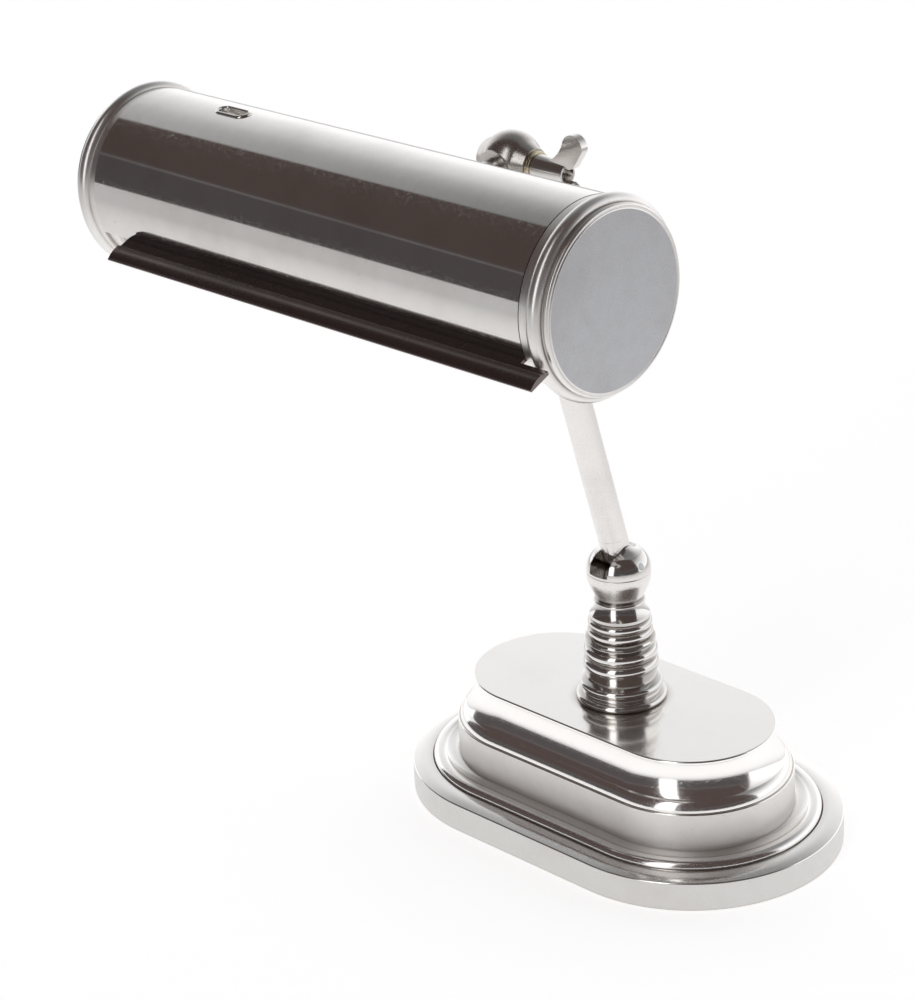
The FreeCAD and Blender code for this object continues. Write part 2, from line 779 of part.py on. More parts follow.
def shade_tube():
    """The tubular shade, open underneath, with one vent slot on top and the stem's hole behind."""
    inside = shade_radius - shade_wall
    tube = rod_x(shade_radius, -shade_half_length, shade_half_length)
    rim = slot_z(vent_rim_radius, vent_straight, 0, shade_radius + vent_rim_height, vent_x)
    rim = rim.common(rod_x(shade_radius + vent_rim_height, -shade_half_length, shade_half_length))
    rim = rim.rotated(ORIGIN, X_AXIS, vent_angle)
    tube = tube.fuse(rim)
    tube = tube.cut(rod_x(inside, -shade_half_length - 1, shade_half_length + 1))
    tube = tube.cut(mouth_wedge())
    vent = slot_z(vent_radius, vent_straight, 0, 2 * shade_radius, vent_x)
    vent = vent.rotated(ORIGIN, X_AXIS, vent_angle)
    stem_hole = rod_y(stem_thread_radius + loose, 0, 2 * shade_radius)
    return on_shade(tube.cut([vent, stem_hole]))


def shade_lip():
    """The finger lip along the mouth's front edge: a flat flange with a rolled outer hem."""
    inner = shade_radius - shade_wall
    hem = shade_radius + lip_hem_out
    crest = shade_radius + lip_crest_out
    outer = shade_radius + lip_out
    rise = lip_rise
    thick = lip_thickness
    left = lip_left_x

    def spot(radius, height):
        return at(left, -radius, height)

    edges = [
        line(spot(inner, 0), spot(hem, 0)),
        arc(spot(hem, 0), spot(hem + 0.4, 0.8 * rise), spot(crest, rise)),
        arc(spot(crest, rise), spot(crest + 3.3, 0.6 * rise), spot(outer - 0.6, -0.3)),
        arc(spot(outer - 0.6, -0.3), spot(outer, -0.8), spot(outer - 0.5, -thick)),
        line(spot(outer - 0.5, -thick), spot(inner, -thick)),
        line(spot(inner, -thick), spot(inner, 0)),
    ]
    tip = shade_half_length + lip_past_tube
    lip = Part.Face(Part.Wire(edges)).extrude(X_AXIS * (tip - left))
    notch_x = shade_half_length - lip_right_gap
    notch_reach = shade_radius + cap_bead_proud + lip_bead_gap
    lip = lip.cut(block(notch_x, tip + 1, -notch_reach, 0, -outer, outer))
    below_front = 90.0 - mouth_half_angle + mouth_turn
    return on_shade(lip.rotated(ORIGIN, X_AXIS, below_front))


def end_cap(side):
    """A spun end cap: skirt in the tube, flush collar, round bead, groove, step and flat face."""
    collar_x = shade_half_length + 0.2
    collar = shade_radius - cap_collar_inset
    bead_x = collar_x + cap_collar_length + cap_bead_radius
    bead_outer = shade_radius + cap_bead_proud
    bead_axis = bead_outer - cap_bead_radius
    skirt = shade_radius - shade_wall - loose
    groove_x = bead_x + cap_bead_radius
    face = shade_half_length + cap_depth
    face_radius = shade_radius - cap_face_inset
    step_radius = shade_radius - cap_step_inset
    start = shade_half_length - cap_skirt_depth
    outline = [
        (0, start),
        (skirt, start),
        (skirt, collar_x),
        (collar, collar_x),
        (collar, bead_x - cap_bead_radius + 0.3),
        (bead_outer, bead_x, bead_axis, groove_x),
        (bead_axis - 0.3, groove_x + 0.3),
        (step_radius - 0.4, groove_x + 0.8),
        (step_radius, groove_x + 1.5, face_radius + 0.6, face - 0.3),
        (face_radius + 0.3, face - 0.1, face_radius, face),
        (0, face),
    ]
    shell = turned(outline)
    hollow = rod_z(skirt - cap_wall, start - 1, face - cap_wall)
    cap = shell.cut(hollow)
    cap = cap.rotated(ORIGIN, Y_AXIS, 90)
    if side < 0:
        cap = cap.mirror(ORIGIN, X_AXIS)
    return on_shade(cap)


def holder_bracket():
    """The flat strip clamped by the stem's nut, bent inwards to carry the lampholder."""
    back = bracket_back_y()
    half = bracket_width / 2
    strip = block(bracket_tail_x, bracket_bend_x, back - bracket_thickness, back, -half, half)
    bend = block(bracket_bend_x - bracket_thickness, bracket_bend_x, -bracket_reach, back, -half, half)
    bracket = strip.fuse(bend).removeSplitter()
    bracket = bracket.cut(rod_y(stem_thread_radius + loose, 0, shade_radius))
    return on_holder_side(bracket.cut(rod_x(nipple_radius + running, 0, shade_half_length)))


def holder_nut():
    """The nut that holds the lampholder's nipple in the bracket."""
    nut = hexagon(nipple_nut_across, nipple_nut_height, at(bracket_bend_x, 0, 0), X_AXIS)
    return on_holder_side(nut.cut(rod_x(nipple_radius + running, 0, shade_half_length)))


def lampholder():
    """The moulded lampholder with its hollow threaded nipple."""
    back = bracket_bend_x - bracket_thickness
    shell_start = back - holder_base_length
    mouth = back - holder_length
    base = rod_x(holder_base_radius, shell_start, back)
    shell = rod_x(holder_shell_radius, mouth, shell_start)
    nipple = rod_x(nipple_radius, back, bracket_bend_x + nipple_nut_height + 1)
    holder = base.fuse([shell, nipple]).removeSplitter()
    holder = holder.cut(rod_x(holder_bore_radius, mouth - 1, mouth + holder_bore_depth))
    return on_holder_side(holder.cut(rod_x(cord_hole_radius, mouth, shade_half_length)))


def holder_contact():
    """The brass centre contact at the bottom of the lampholder."""
    floor = bracket_bend_x - bracket_thickness - holder_length + holder_bore_depth
    disc = rod_x(bulb_cap_tip_radius + 1.0, floor - contact_thickness, floor)
    return on_holder_side(disc.cut(rod_x(contact_screw_radius, floor - 2.0, floor + 1.0)))


def bulb_tip_x():
    """The end of the bulb's cap, against the centre contact."""
    return bracket_bend_x - bracket_thickness - holder_length + holder_bore_depth - contact_thickness


def bulb_cap():
    """The bulb's screw cap."""
    tip = bulb_tip_x()
    wide_end = tip - bulb_cap_tip_length
    neck = Part.makeCone(bulb_cap_radius, bulb_cap_tip_radius, bulb_cap_tip_length, at(wide_end, 0, 0), X_AXIS)
    barrel = rod_x(bulb_cap_radius, wide_end - bulb_cap_length, wide_end)
    cap = barrel.fuse(neck).removeSplitter()
    hollow = rod_x(bulb_neck_radius + running, wide_end - bulb_cap_length - 1, wide_end - 4.0)
    return on_holder_side(cap.cut(hollow))


def bulb_glass():
    """The bulb's glass: a neck in the cap, then a round-ended tube."""
    neck_end = bulb_tip_x() - bulb_cap_tip_length - 5.0
    shoulder = bracket_bend_x - bracket_thickness - holder_length - bulb_shoulder_gap
    far = shoulder - bulb_length

    def envelope(shrink):
        r = bulb_radius - shrink
        neck = bulb_neck_radius - shrink
        outline = [
            (0, -neck_end + shrink),
            (neck, -neck_end + shrink),
            (neck, -shoulder),
            (neck + 3.2, -shoulder + 3.6, r, -shoulder + 12.0),
            (r, -far - r - shrink),
            (r * math.sqrt(0.5), -far - shrink - r * (1 - math.sqrt(0.5)), 0, -far - shrink),
        ]
        return turned(outline).rotated(ORIGIN, Y_AXIS, -90)

    return on_holder_side(envelope(0).cut(envelope(bulb_wall)))


def sub_parts():
    """Every node's name and shape."""
    return {
        "base_cover": base_cover(),
        "base_weight": base_weight(),
        "bottom_plate": bottom_plate(),
        "felt_pad": felt_pad(),
        "plate_screws": plate_screws(),
        "cord_inlet": cord_inlet(),
        "column": column(),
        "threaded_pipe": threaded_pipe(),
        "pipe_washer": pipe_washer(),
        "pipe_nut": pipe_nut(),
        "swivel_cup": swivel_cup(),
        "swivel_dome": swivel_dome(),
        "swivel_rivet": swivel_rivet(),
        "swivel_spring": swivel_spring(),
        "tilt_pin": tilt_pin(),
        "tilt_shims": tilt_shims(),
        "arm_tang": arm_tang(),
        "arm_tube": arm_tube(),
        "arm_eye": arm_eye(),
        "knuckle_ball": knuckle_ball(),
        "knuckle_bolt": knuckle_bolt(),
        "knuckle_washers": knuckle_washers(),
        "wing_nut": wing_nut(),
        "shade_stem": shade_stem(),
        "stem_collar": stem_collar(),
        "stem_nut": stem_nut(),
        "shade_tube": shade_tube(),
        "shade_lip": shade_lip(),
        "end_cap_right": end_cap(1),
        "end_cap_left": end_cap(-1),
        "holder_bracket": holder_bracket(),
        "holder_nut": holder_nut(),
        "lampholder": lampholder(),
        "holder_contact": holder_contact(),
        "bulb_cap": bulb_cap(),
        "bulb_glass": bulb_glass(),
    }


os.makedirs("parts", exist_ok=True)
for name, shape in sub_parts().items():
    if not shape.isValid():
        print("not valid:", name)
    solids = len(shape.Solids)
    print(f"{name}: {solids} solid(s), {shape.Volume:.0f} mm3")
    shape.exportStep(f"parts/{name}.step")
print(f"knuckle at y {knuckle_y:.2f} z {knuckle_z:.2f}; tilt pin z {tilt_z:.2f}")
print(f"shade axis at y {shade_y:.2f} z {shade_z:.2f}")
print(f"arm tilt from {arm_lean_back_limit - arm_lean:.1f} to {arm_lean_front_limit - arm_lean:.1f} degrees")
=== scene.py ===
"""Desk lamp in antique silver plate: visible pieces, finishes, pale studio and camera."""

import json
import logging
import math
from dataclasses import dataclass
from enum import Enum
from typing import Callable, Iterable, Sequence

import bmesh
import bpy
from mathutils import Matrix, Vector

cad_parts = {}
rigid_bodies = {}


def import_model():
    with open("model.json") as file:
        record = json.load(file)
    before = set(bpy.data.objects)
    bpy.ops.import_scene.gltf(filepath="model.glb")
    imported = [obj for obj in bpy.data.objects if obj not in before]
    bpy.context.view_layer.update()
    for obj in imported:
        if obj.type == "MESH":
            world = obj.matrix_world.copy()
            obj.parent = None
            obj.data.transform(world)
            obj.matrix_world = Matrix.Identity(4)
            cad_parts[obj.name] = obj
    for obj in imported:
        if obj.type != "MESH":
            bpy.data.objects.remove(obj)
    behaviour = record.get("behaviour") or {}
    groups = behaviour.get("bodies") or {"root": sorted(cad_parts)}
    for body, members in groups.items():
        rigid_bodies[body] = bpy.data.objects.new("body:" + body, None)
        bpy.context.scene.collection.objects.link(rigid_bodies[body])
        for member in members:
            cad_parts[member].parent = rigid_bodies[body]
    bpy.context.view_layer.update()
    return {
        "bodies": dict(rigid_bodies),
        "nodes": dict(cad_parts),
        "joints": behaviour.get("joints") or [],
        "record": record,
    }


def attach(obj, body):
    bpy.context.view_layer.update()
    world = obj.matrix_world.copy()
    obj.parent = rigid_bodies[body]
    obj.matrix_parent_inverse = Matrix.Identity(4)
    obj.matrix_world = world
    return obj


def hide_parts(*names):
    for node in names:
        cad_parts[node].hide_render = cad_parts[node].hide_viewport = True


log = logging.getLogger("lamp")

# Metres: one millimetre, and how near points must lie to become one
MM = 0.001
MERGE = 1e-6
WELD = 1e-7

# One step of an outline: two numbers for a line's end, four for an arc's middle and end
Step = tuple[float, ...]
Point = tuple[float, float]
Color = tuple[float, float, float]
Obj = bpy.types.Object
Socket = bpy.types.NodeSocket

ORIGIN = (0, 0, 0)
UP = (0, 0, 1)
HERE = Matrix.Identity(4)
BEVEL_ANGLE = 35.0
BEVEL_STEPS = 2

# Places shared by several sub-assemblies, in millimetres and degrees
TILT_Z = 118.4
ARM_LEAN = 16.4
ARM_LENGTH = 195.75
STEM_DROP = 5.2
STEM_LENGTH = 80.36
KNUCKLE_Y = -ARM_LENGTH * math.sin(math.radians(ARM_LEAN))
KNUCKLE_Z = TILT_Z + ARM_LENGTH * math.cos(math.radians(ARM_LEAN))
SHADE_Y = KNUCKLE_Y - STEM_LENGTH * math.cos(math.radians(STEM_DROP))
SHADE_Z = KNUCKLE_Z - STEM_LENGTH * math.sin(math.radians(STEM_DROP))


def moved(x: float, y: float, z: float) -> Matrix:
    """A shift in millimetres.

    Args:
        x: shift along X.
        y: shift along Y.
        z: shift along Z.

    Returns:
        The shift as a matrix in metres.
    """
    return Matrix.Translation(Vector((x, y, z)) * MM)


def turned(angle: float, axis: str) -> Matrix:
    """A turn about a main axis.

    Args:
        angle: the turn in degrees.
        axis: "X", "Y" or "Z".

    Returns:
        The turn as a matrix.
    """
    return Matrix.Rotation(math.radians(angle), 4, axis)


ALONG_X = turned(90, "Y")
ALONG_Y = turned(-90, "X")
ON_ARM = moved(0, 0, TILT_Z) @ turned(ARM_LEAN, "X")
ON_KNUCKLE = moved(0, KNUCKLE_Y, KNUCKLE_Z)
ON_SHADE = moved(0, SHADE_Y, SHADE_Z) @ turned(STEM_DROP, "X")


class Slot(Enum):
    """The record's material slots."""

    POLISHED = "polished_plate"
    SATIN = "satin_plate"
    DARK = "dark_plate"
    IRON = "cast_iron"
    STEEL = "plain_steel"
    BRASS = "brass"
    FELT = "felt"
    MOULDING = "black_moulding"
    BULB_METAL = "bulb_metal"
    GLASS = "bulb_glass"


def arc_points(start: Point, middle: Point, end: Point) -> list[Point]:
    """Points along the arc through three points, without the first.

    Args:
        start: where the arc begins.
        middle: a point on the arc.
        end: where the arc ends.

    Returns:
        The points after the start, about five degrees apart.
    """
    (ax, ay), (bx, by), (cx, cy) = start, middle, end
    a2, b2, c2 = ax * ax + ay * ay, bx * bx + by * by, cx * cx + cy * cy
    twice = 2 * (ax * (by - cy) + bx * (cy - ay) + cx * (ay - by))
    if abs(twice) < 1e-9:
        return [middle, end]
    ux = (a2 * (by - cy) + b2 * (cy - ay) + c2 * (ay - by)) / twice
    uy = (a2 * (cx - bx) + b2 * (ax - cx) + c2 * (bx - ax)) / twice
    radius = math.hypot(ax - ux, ay - uy)
    first = math.atan2(ay - uy, ax - ux)
    sweep = (math.atan2(cy - uy, cx - ux) - first) % math.tau
    if (math.atan2(by - uy, bx - ux) - first) % math.tau > sweep:
        sweep -= math.tau
    steps = max(4, math.ceil(abs(sweep) / math.radians(5)))
    angles = [first + sweep * i / steps for i in range(1, steps + 1)]
    return [(ux + radius * math.cos(t), uy + radius * math.sin(t)) for t in angles]


def sampled(outline: Sequence[Step]) -> list[Point]:
    """Plain points of an outline made of lines (two numbers) and arcs (four numbers).

    Args:
        outline: the first point, then one step per line or arc.

    Returns:
        The outline as points.
    """
    points: list[Point] = [outline[0]]
    for step in outline[1:]:
        if len(step) == 2:
            points.append(step)
        else:
            points.extend(arc_points(points[-1], step[:2], step[2:]))
    return points


def object_from(bm: bmesh.types.BMesh, name: str, matrix: Matrix = HERE) -> Obj:
    """A scene object from a bmesh, with merged points and outward faces.

    Args:
        bm: the bmesh, which is freed.
        name: the object's name.
        matrix: where the mesh is put; the object itself stays at the origin.

    Returns:
        The new object.
    """
    bmesh.ops.remove_doubles(bm, verts=bm.verts, dist=MERGE)
    bmesh.ops.transform(bm, matrix=matrix, verts=bm.verts)
    bmesh.ops.recalc_face_normals(bm, faces=bm.faces)
    mesh = bpy.data.meshes.new(name)
    bm.to_mesh(mesh)
    bm.free()
    obj = bpy.data.objects.new(name, mesh)
    bpy.context.collection.objects.link(obj)
    return obj


def profile(bm: bmesh.types.BMesh, points: Iterable[Vector], closed: bool) -> list:
    """Points and edges of a profile, ready for a spin.

    Args:
        bm: the bmesh they go into.
        points: the profile's points in metres.
        closed: whether the last point joins the first.

    Returns:
        The new points and edges.
    """
    verts = [bm.verts.new(p) for p in points]
    pairs = list(zip(verts, verts[1:]))
    if closed:
        pairs.append((verts[-1], verts[0]))
    return verts + [bm.edges.new(pair) for pair in pairs]


def spun(name: str, outline: Sequence[Step], matrix: Matrix = HERE, closed: bool = False,
         steps: int = 160) -> Obj:
    """A turned piece.

    Args:
        name: the object's name.
        outline: radius and height in millimetres; open outlines start and end on the axis.
        matrix: where the piece goes.
        closed: whether the outline is a ring that doesn't touch the axis.
        steps: how many steps the turn has.

    Returns:
        The new object.
    """
    bm = bmesh.new()
    points = [Vector((r, 0, z)) * MM for r, z in sampled(outline)]
    geom = profile(bm, points, closed)
    bmesh.ops.spin(bm, geom=geom, cent=ORIGIN, axis=UP, angle=math.tau, steps=steps, use_merge=True)
    return object_from(bm, name, matrix)


def ring_section(inner: float, outer: float, low: float, high: float, edge: float) -> list[Step]:
    """The section of a plain ring whose two outer edges are rounded.

    Args:
        inner: the ring's inner radius.
        outer: its outer radius.
        low: where it starts on its own Z.
        high: where it ends.
        edge: the rounding.

    Returns:
        The section as an outline.
    """
    return [
        (inner, low),
        (outer - edge, low),
        (outer - edge / 3, low + edge / 3, outer, low + edge),
        (outer, high - edge),
        (outer - edge / 3, high - edge / 3, outer - edge, high),
        (inner, high),
    ]


def oval_swept(name: str, outline: Sequence[Step], half_straight: float) -> Obj:
    """An outline swept round an oval made of two half turns and two straights.

    Args:
        name: the object's name.
        outline: distance from the middle line and height, starting and ending on that line.
        half_straight: half the straight's length.

    Returns:
        The new object.
    """
    bm = bmesh.new()
    x = half_straight * MM
    runs, steps = 16, 80
    points = [Vector((-half_straight, -r, z)) * MM for r, z in sampled(outline)]
    geom = profile(bm, points, False)
    legs = (
        (ORIGIN, 0.0, (2 * x / runs, 0, 0), runs),
        ((x, 0, 0), math.pi, ORIGIN, steps),
        (ORIGIN, 0.0, (-2 * x / runs, 0, 0), runs),
        ((-x, 0, 0), math.pi, ORIGIN, steps),
    )
    for centre, angle, shift, count in legs:
        made = bmesh.ops.spin(bm, geom=geom, cent=centre, axis=UP, angle=angle, dvec=shift, steps=count)
        geom = made["geom_last"]
    return object_from(bm, name)


def extruded(name: str, outline: Sequence[Step], length: float, matrix: Matrix,
             runs: int = 1) -> Obj:
    """A flat outline pushed out into a bar.

    Args:
        name: the object's name.
        outline: a ring of points in the bar's own X and Y, in millimetres.
        length: how far it is pushed along its own Z.
        matrix: where the bar goes.
        runs: how many pieces the length is split into.

    Returns:
        The new object.
    """
    bm = bmesh.new()
    points = [Vector((x, y, 0)) * MM for x, y in sampled(outline)]
    geom = profile(bm, points, True)
    edges = [e for e in geom if isinstance(e, bmesh.types.BMEdge)]
    bmesh.ops.contextual_create(bm, geom=edges)
    shift = (0, 0, length * MM / runs)
    made = bmesh.ops.spin(bm, geom=geom, cent=ORIGIN, axis=UP, angle=0.0, dvec=shift, steps=runs)
    last = [e for e in made["geom_last"] if isinstance(e, bmesh.types.BMEdge)]
    bmesh.ops.contextual_create(bm, geom=last)
    return object_from(bm, name, matrix)


def cylinder(radius: float, low: float, high: float, matrix: Matrix = HERE) -> Obj:
    """A plain round cutter.

    Args:
        radius: its radius.
        low: where it starts on its own Z.
        high: where it ends on its own Z.
        matrix: where it goes.

    Returns:
        The new object.
    """
    outline = [(0, low), (radius, low), (radius, high), (0, high)]
    return spun("cutter", outline, matrix, steps=96)


def box(low: Step, high: Step, matrix: Matrix) -> Obj:
    """A plain block cutter.

    Args:
        low: its lowest corner in millimetres.
        high: its highest corner.
        matrix: where it goes.

    Returns:
        The new object.
    """
    bm = bmesh.new()
    middle = (Vector(low) + Vector(high)) / 2
    size = Vector(high) - Vector(low)
    place = moved(*middle) @ Matrix.Diagonal((*(size * MM), 1))
    bmesh.ops.create_cube(bm, size=1.0, matrix=matrix @ place)
    return object_from(bm, "cutter")


def baked(obj: Obj) -> Obj:
    """Turns an object's modifiers into its mesh.

    Args:
        obj: the object.

    Returns:
        The same object.
    """
    graph = bpy.context.evaluated_depsgraph_get()
    final = obj.evaluated_get(graph)
    mesh = bpy.data.meshes.new_from_object(final, preserve_all_data_layers=True, depsgraph=graph)
    obj.modifiers.clear()
    old = obj.data
    obj.data = mesh
    bpy.data.meshes.remove(old)
    return obj


def welded(obj: Obj) -> Obj:
    """Joins points that lie on each other and removes faces without an area.

    Args:
        obj: the object.

    Returns:
        The same object.
    """
    bm = bmesh.new()
    bm.from_mesh(obj.data)
    bmesh.ops.remove_doubles(bm, verts=bm.verts, dist=WELD)
    bmesh.ops.dissolve_degenerate(bm, dist=WELD, edges=bm.edges)
    bm.to_mesh(obj.data)
    bm.free()
    return obj


def combined(obj: Obj, others: Iterable[Obj], operation: str) -> Obj:
    """Cuts other objects out of one, or adds them to it, and removes them.

    Args:
        obj: the object that stays.
        others: the objects that are used up.
        operation: "DIFFERENCE" or "UNION".

    Returns:
        The same object.
    """
    for other in others:
        mod = obj.modifiers.new("boolean", "BOOLEAN")
        mod.operation = operation
        mod.solver = "EXACT"
        mod.object = other
        baked(obj)
        bpy.data.objects.remove(other)
    return welded(obj)


def joined(obj: Obj, *others: Obj) -> Obj:
    """Puts other closed meshes into one object as they are.

    Args:
        obj: the object that stays.
        others: the objects whose meshes it takes over.

    Returns:
        The same object.
    """
    bm = bmesh.new()
    for part in (obj, *others):
        bm.from_mesh(part.data)
    bm.to_mesh(obj.data)
    bm.free()
    for other in others:
        bpy.data.objects.remove(other)
    return obj


def bevelled(obj: Obj, width: float) -> Obj:
    """Rounds an object's sharp edges.

    Args:
        obj: the object.
        width: the rounding in millimetres.

    Returns:
        The same object.
    """
    bm = bmesh.new()
    bm.from_mesh(obj.data)
    bmesh.ops.remove_doubles(bm, verts=bm.verts, dist=10 * WELD)
    bmesh.ops.dissolve_limit(bm, angle_limit=math.radians(0.5), verts=bm.verts, edges=bm.edges)
    bm.to_mesh(obj.data)
    bm.free()
    mod = obj.modifiers.new("bevel", "BEVEL")
    mod.width = width * MM
    mod.segments = BEVEL_STEPS
    mod.limit_method = "ANGLE"
    mod.angle_limit = math.radians(BEVEL_ANGLE)
    mod.miter_outer = "MITER_ARC"
    return welded(baked(obj))


def smoothed(obj: Obj, angle: float = 32.0) -> Obj:
    """Smooth shading that keeps sharp edges, and in which big faces decide at their borders.

    Args:
        obj: the object.
        angle: edges sharper than this many degrees stay sharp.

    Returns:
        The same object.
    """
    bm = bmesh.new()
    bm.from_mesh(obj.data)
    for face in bm.faces:
        face.smooth = True
    for edge in bm.edges:
        edge.smooth = len(edge.link_faces) == 2 and edge.calc_face_angle(0.0) < math.radians(angle)
    bm.to_mesh(obj.data)
    bm.free()
    mod = obj.modifiers.new("weighted", "WEIGHTED_NORMAL")
    mod.keep_sharp = True
    mod.weight = 50
    return baked(obj)


class Graph:
    """A thin layer over a node tree."""

    def __init__(self, tree: bpy.types.NodeTree) -> None:
        """Empties the tree.

        Args:
            tree: the node tree to fill.
        """
        self.tree = tree
        tree.nodes.clear()

    def add(self, kind: str, inputs: dict | None = None, **settings: object) -> bpy.types.Node:
        """A node with its settings and inputs.

        Args:
            kind: the node's type name without "ShaderNode".
            inputs: values or output sockets by input name or index.
            settings: properties of the node.

        Returns:
            The new node.
        """
        node = self.tree.nodes.new("ShaderNode" + kind)
        for key, value in settings.items():
            setattr(node, key, value)
        for key, value in (inputs or {}).items():
            if isinstance(value, Socket):
                self.tree.links.new(value, node.inputs[key])
            else:
                node.inputs[key].default_value = value
        return node

    def math(self, operation: str, first: object, second: object = 0.0,
             clamp: bool = False) -> Socket:
        """The result of a sum.

        Args:
            operation: the math node's operation.
            first: its first value.
            second: its second value.
            clamp: whether the result is kept between 0 and 1.

        Returns:
            The output socket.
        """
        return self.add("Math", {0: first, 1: second}, operation=operation, use_clamp=clamp).outputs[0]

    def fit(self, value: object, low: float, high: float, to_low: float = 0.0, to_high: float = 1.0,
            smooth: bool = False) -> Socket:
        """A value moved from one range to another and kept inside it.

        Args:
            value: the value.
            low: start of its range.
            high: end of its range.
            to_low: start of the new range.
            to_high: end of the new range.
            smooth: whether the ends are eased.

        Returns:
            The output socket.
        """
        kind = "SMOOTHSTEP" if smooth else "LINEAR"
        inputs = {0: value, 1: low, 2: high, 3: to_low, 4: to_high}
        return self.add("MapRange", inputs, interpolation_type=kind, clamp=True).outputs[0]

    def mix(self, factor: object, first: object, second: object) -> Socket:
        """A blend of two colours.

        Args:
            factor: how much of the second.
            first: the first colour, as three numbers or a socket.
            second: the second colour.

        Returns:
            The output socket.
        """
        one, two = (c if isinstance(c, Socket) else (*c, 1.0) for c in (first, second))
        return self.add("Mix", {0: factor, 6: one, 7: two}, data_type="RGBA").outputs[2]

    def noise(self, vector: Socket, scale: float, detail: float) -> Socket:
        """A noise value.

        Args:
            vector: where it is read.
            scale: how fine it is, per metre.
            detail: how many finer layers it has.

        Returns:
            The output socket.
        """
        return self.add("TexNoise", {"Vector": vector, "Scale": scale, "Detail": detail}).outputs[0]

    def streaks(self, vector: Socket, size: Step, turn: Step,
                detail: float = 2.0) -> Socket:
        """Noise drawn out into streaks.

        Args:
            vector: where it is read.
            size: the streaks' size in millimetres along three axes.
            turn: those axes' turn in degrees.
            detail: how many finer layers the noise has.

        Returns:
            The output socket.
        """
        scale, rotation = tuple(s * MM for s in size), tuple(map(math.radians, turn))
        inputs = {"Vector": vector, "Scale": scale, "Rotation": rotation}
        mapped = self.add("Mapping", inputs, vector_type="TEXTURE").outputs[0]
        return self.noise(mapped, 1.0, detail)


class Hairline(Enum):
    """Which way fine polishing lines run, as the streaks' size in millimetres."""

    AROUND_X = (0.25, 14.0, 14.0)
    AROUND_Z = (12.0, 12.0, 0.22)
    ALL_WAYS = (0.5, 0.5, 0.5)


# Three kinds of scratch: size in millimetres and turn in degrees
SCRATCHES = (
    ((26, 0.16, 0.5), (10, 35, 20)),
    ((15, 0.14, 0.5), (50, -20, 70)),
    ((9, 0.2, 0.4), (0, 80, 130)),
)


SILVER: Color = (0.78, 0.765, 0.745)
SILVER_TARNISH: Color = (0.30, 0.255, 0.225)


@dataclass(frozen=True)
class Metal:
    """A metal surface with tarnish, polishing lines, scratches and dark recesses."""

    name: str
    color: Color
    roughness: float
    tarnish: Color = SILVER_TARNISH
    tarnish_share: float = 0.3
    hairline: Hairline = Hairline.ALL_WAYS
    line_depth: float = 0.04
    scratches: float = 0.5
    recess: float = 0.6
    recess_reach: float = 2.5

    def material(self) -> bpy.types.Material:
        """Builds the material.

        Returns:
            The new material.
        """
        mat = bpy.data.materials.new(self.name)
        mat.use_nodes = True
        graph = Graph(mat.node_tree)
        spot = graph.add("TexCoord").outputs["Object"]
        cloud = graph.noise(spot, 22.0, 5.0)
        patch = graph.fit(cloud, 0.46, 0.72, smooth=True)
        mottle = graph.fit(graph.noise(spot, 160.0, 4.0), 0.40, 0.70)
        specks = graph.fit(graph.noise(spot, 900.0, 2.0), 0.70, 0.76)
        line = graph.streaks(spot, self.hairline.value, (0, 0, 0))
        scratch = self.scratch_lines(graph, spot)

        near = graph.add("AmbientOcclusion", {"Distance": self.recess_reach * MM}, samples=6)
        hidden = graph.fit(near.outputs["AO"], 0.35, 0.95, self.recess, 0.0)
        share = graph.math("MULTIPLY", patch, self.tarnish_share)
        share = graph.math("ADD", share, graph.math("MULTIPLY", mottle, 0.25 * self.tarnish_share))
        share = graph.math("ADD", share, graph.math("MULTIPLY", specks, 0.25), clamp=True)
        share = graph.math("MAXIMUM", share, hidden)
        color = graph.mix(share, self.color, self.tarnish)

        rough = graph.math("ADD", self.roughness, graph.math("MULTIPLY", share, 0.22))
        uneven = graph.fit(line, 0.3, 0.7, -0.12 * self.roughness, 0.18 * self.roughness)
        rough = graph.math("ADD", rough, uneven)
        scored = graph.math("MULTIPLY", scratch, 0.18 * self.scratches)
        rough = graph.math("ADD", rough, scored, clamp=True)

        height = graph.math("MULTIPLY", line, self.line_depth)
        height = graph.math("SUBTRACT", height, graph.math("MULTIPLY", scratch, 0.25 * self.scratches))
        height = graph.math("ADD", height, graph.math("MULTIPLY", cloud, 0.3))
        bump = graph.add("Bump", {"Height": height, "Strength": 0.35, "Distance": 0.00008}).outputs[0]
        inputs = {"Base Color": color, "Metallic": 1.0, "Roughness": rough, "Normal": bump}
        shader = graph.add("BsdfPrincipled", inputs)
        graph.add("OutputMaterial", {"Surface": shader.outputs[0]})
        return mat

    def scratch_lines(self, graph: Graph, spot: Socket) -> Socket:
        """Sparse scratches in three directions.

        Args:
            graph: the material's graph.
            spot: object coordinates.

        Returns:
            A value that is 1 in a scratch.
        """
        total: object = 0.0
        for size, turn in SCRATCHES:
            mark = graph.fit(graph.streaks(spot, size, turn, 1.0), 0.69, 0.73)
            total = graph.math("ADD", total, mark, clamp=True)
        return total


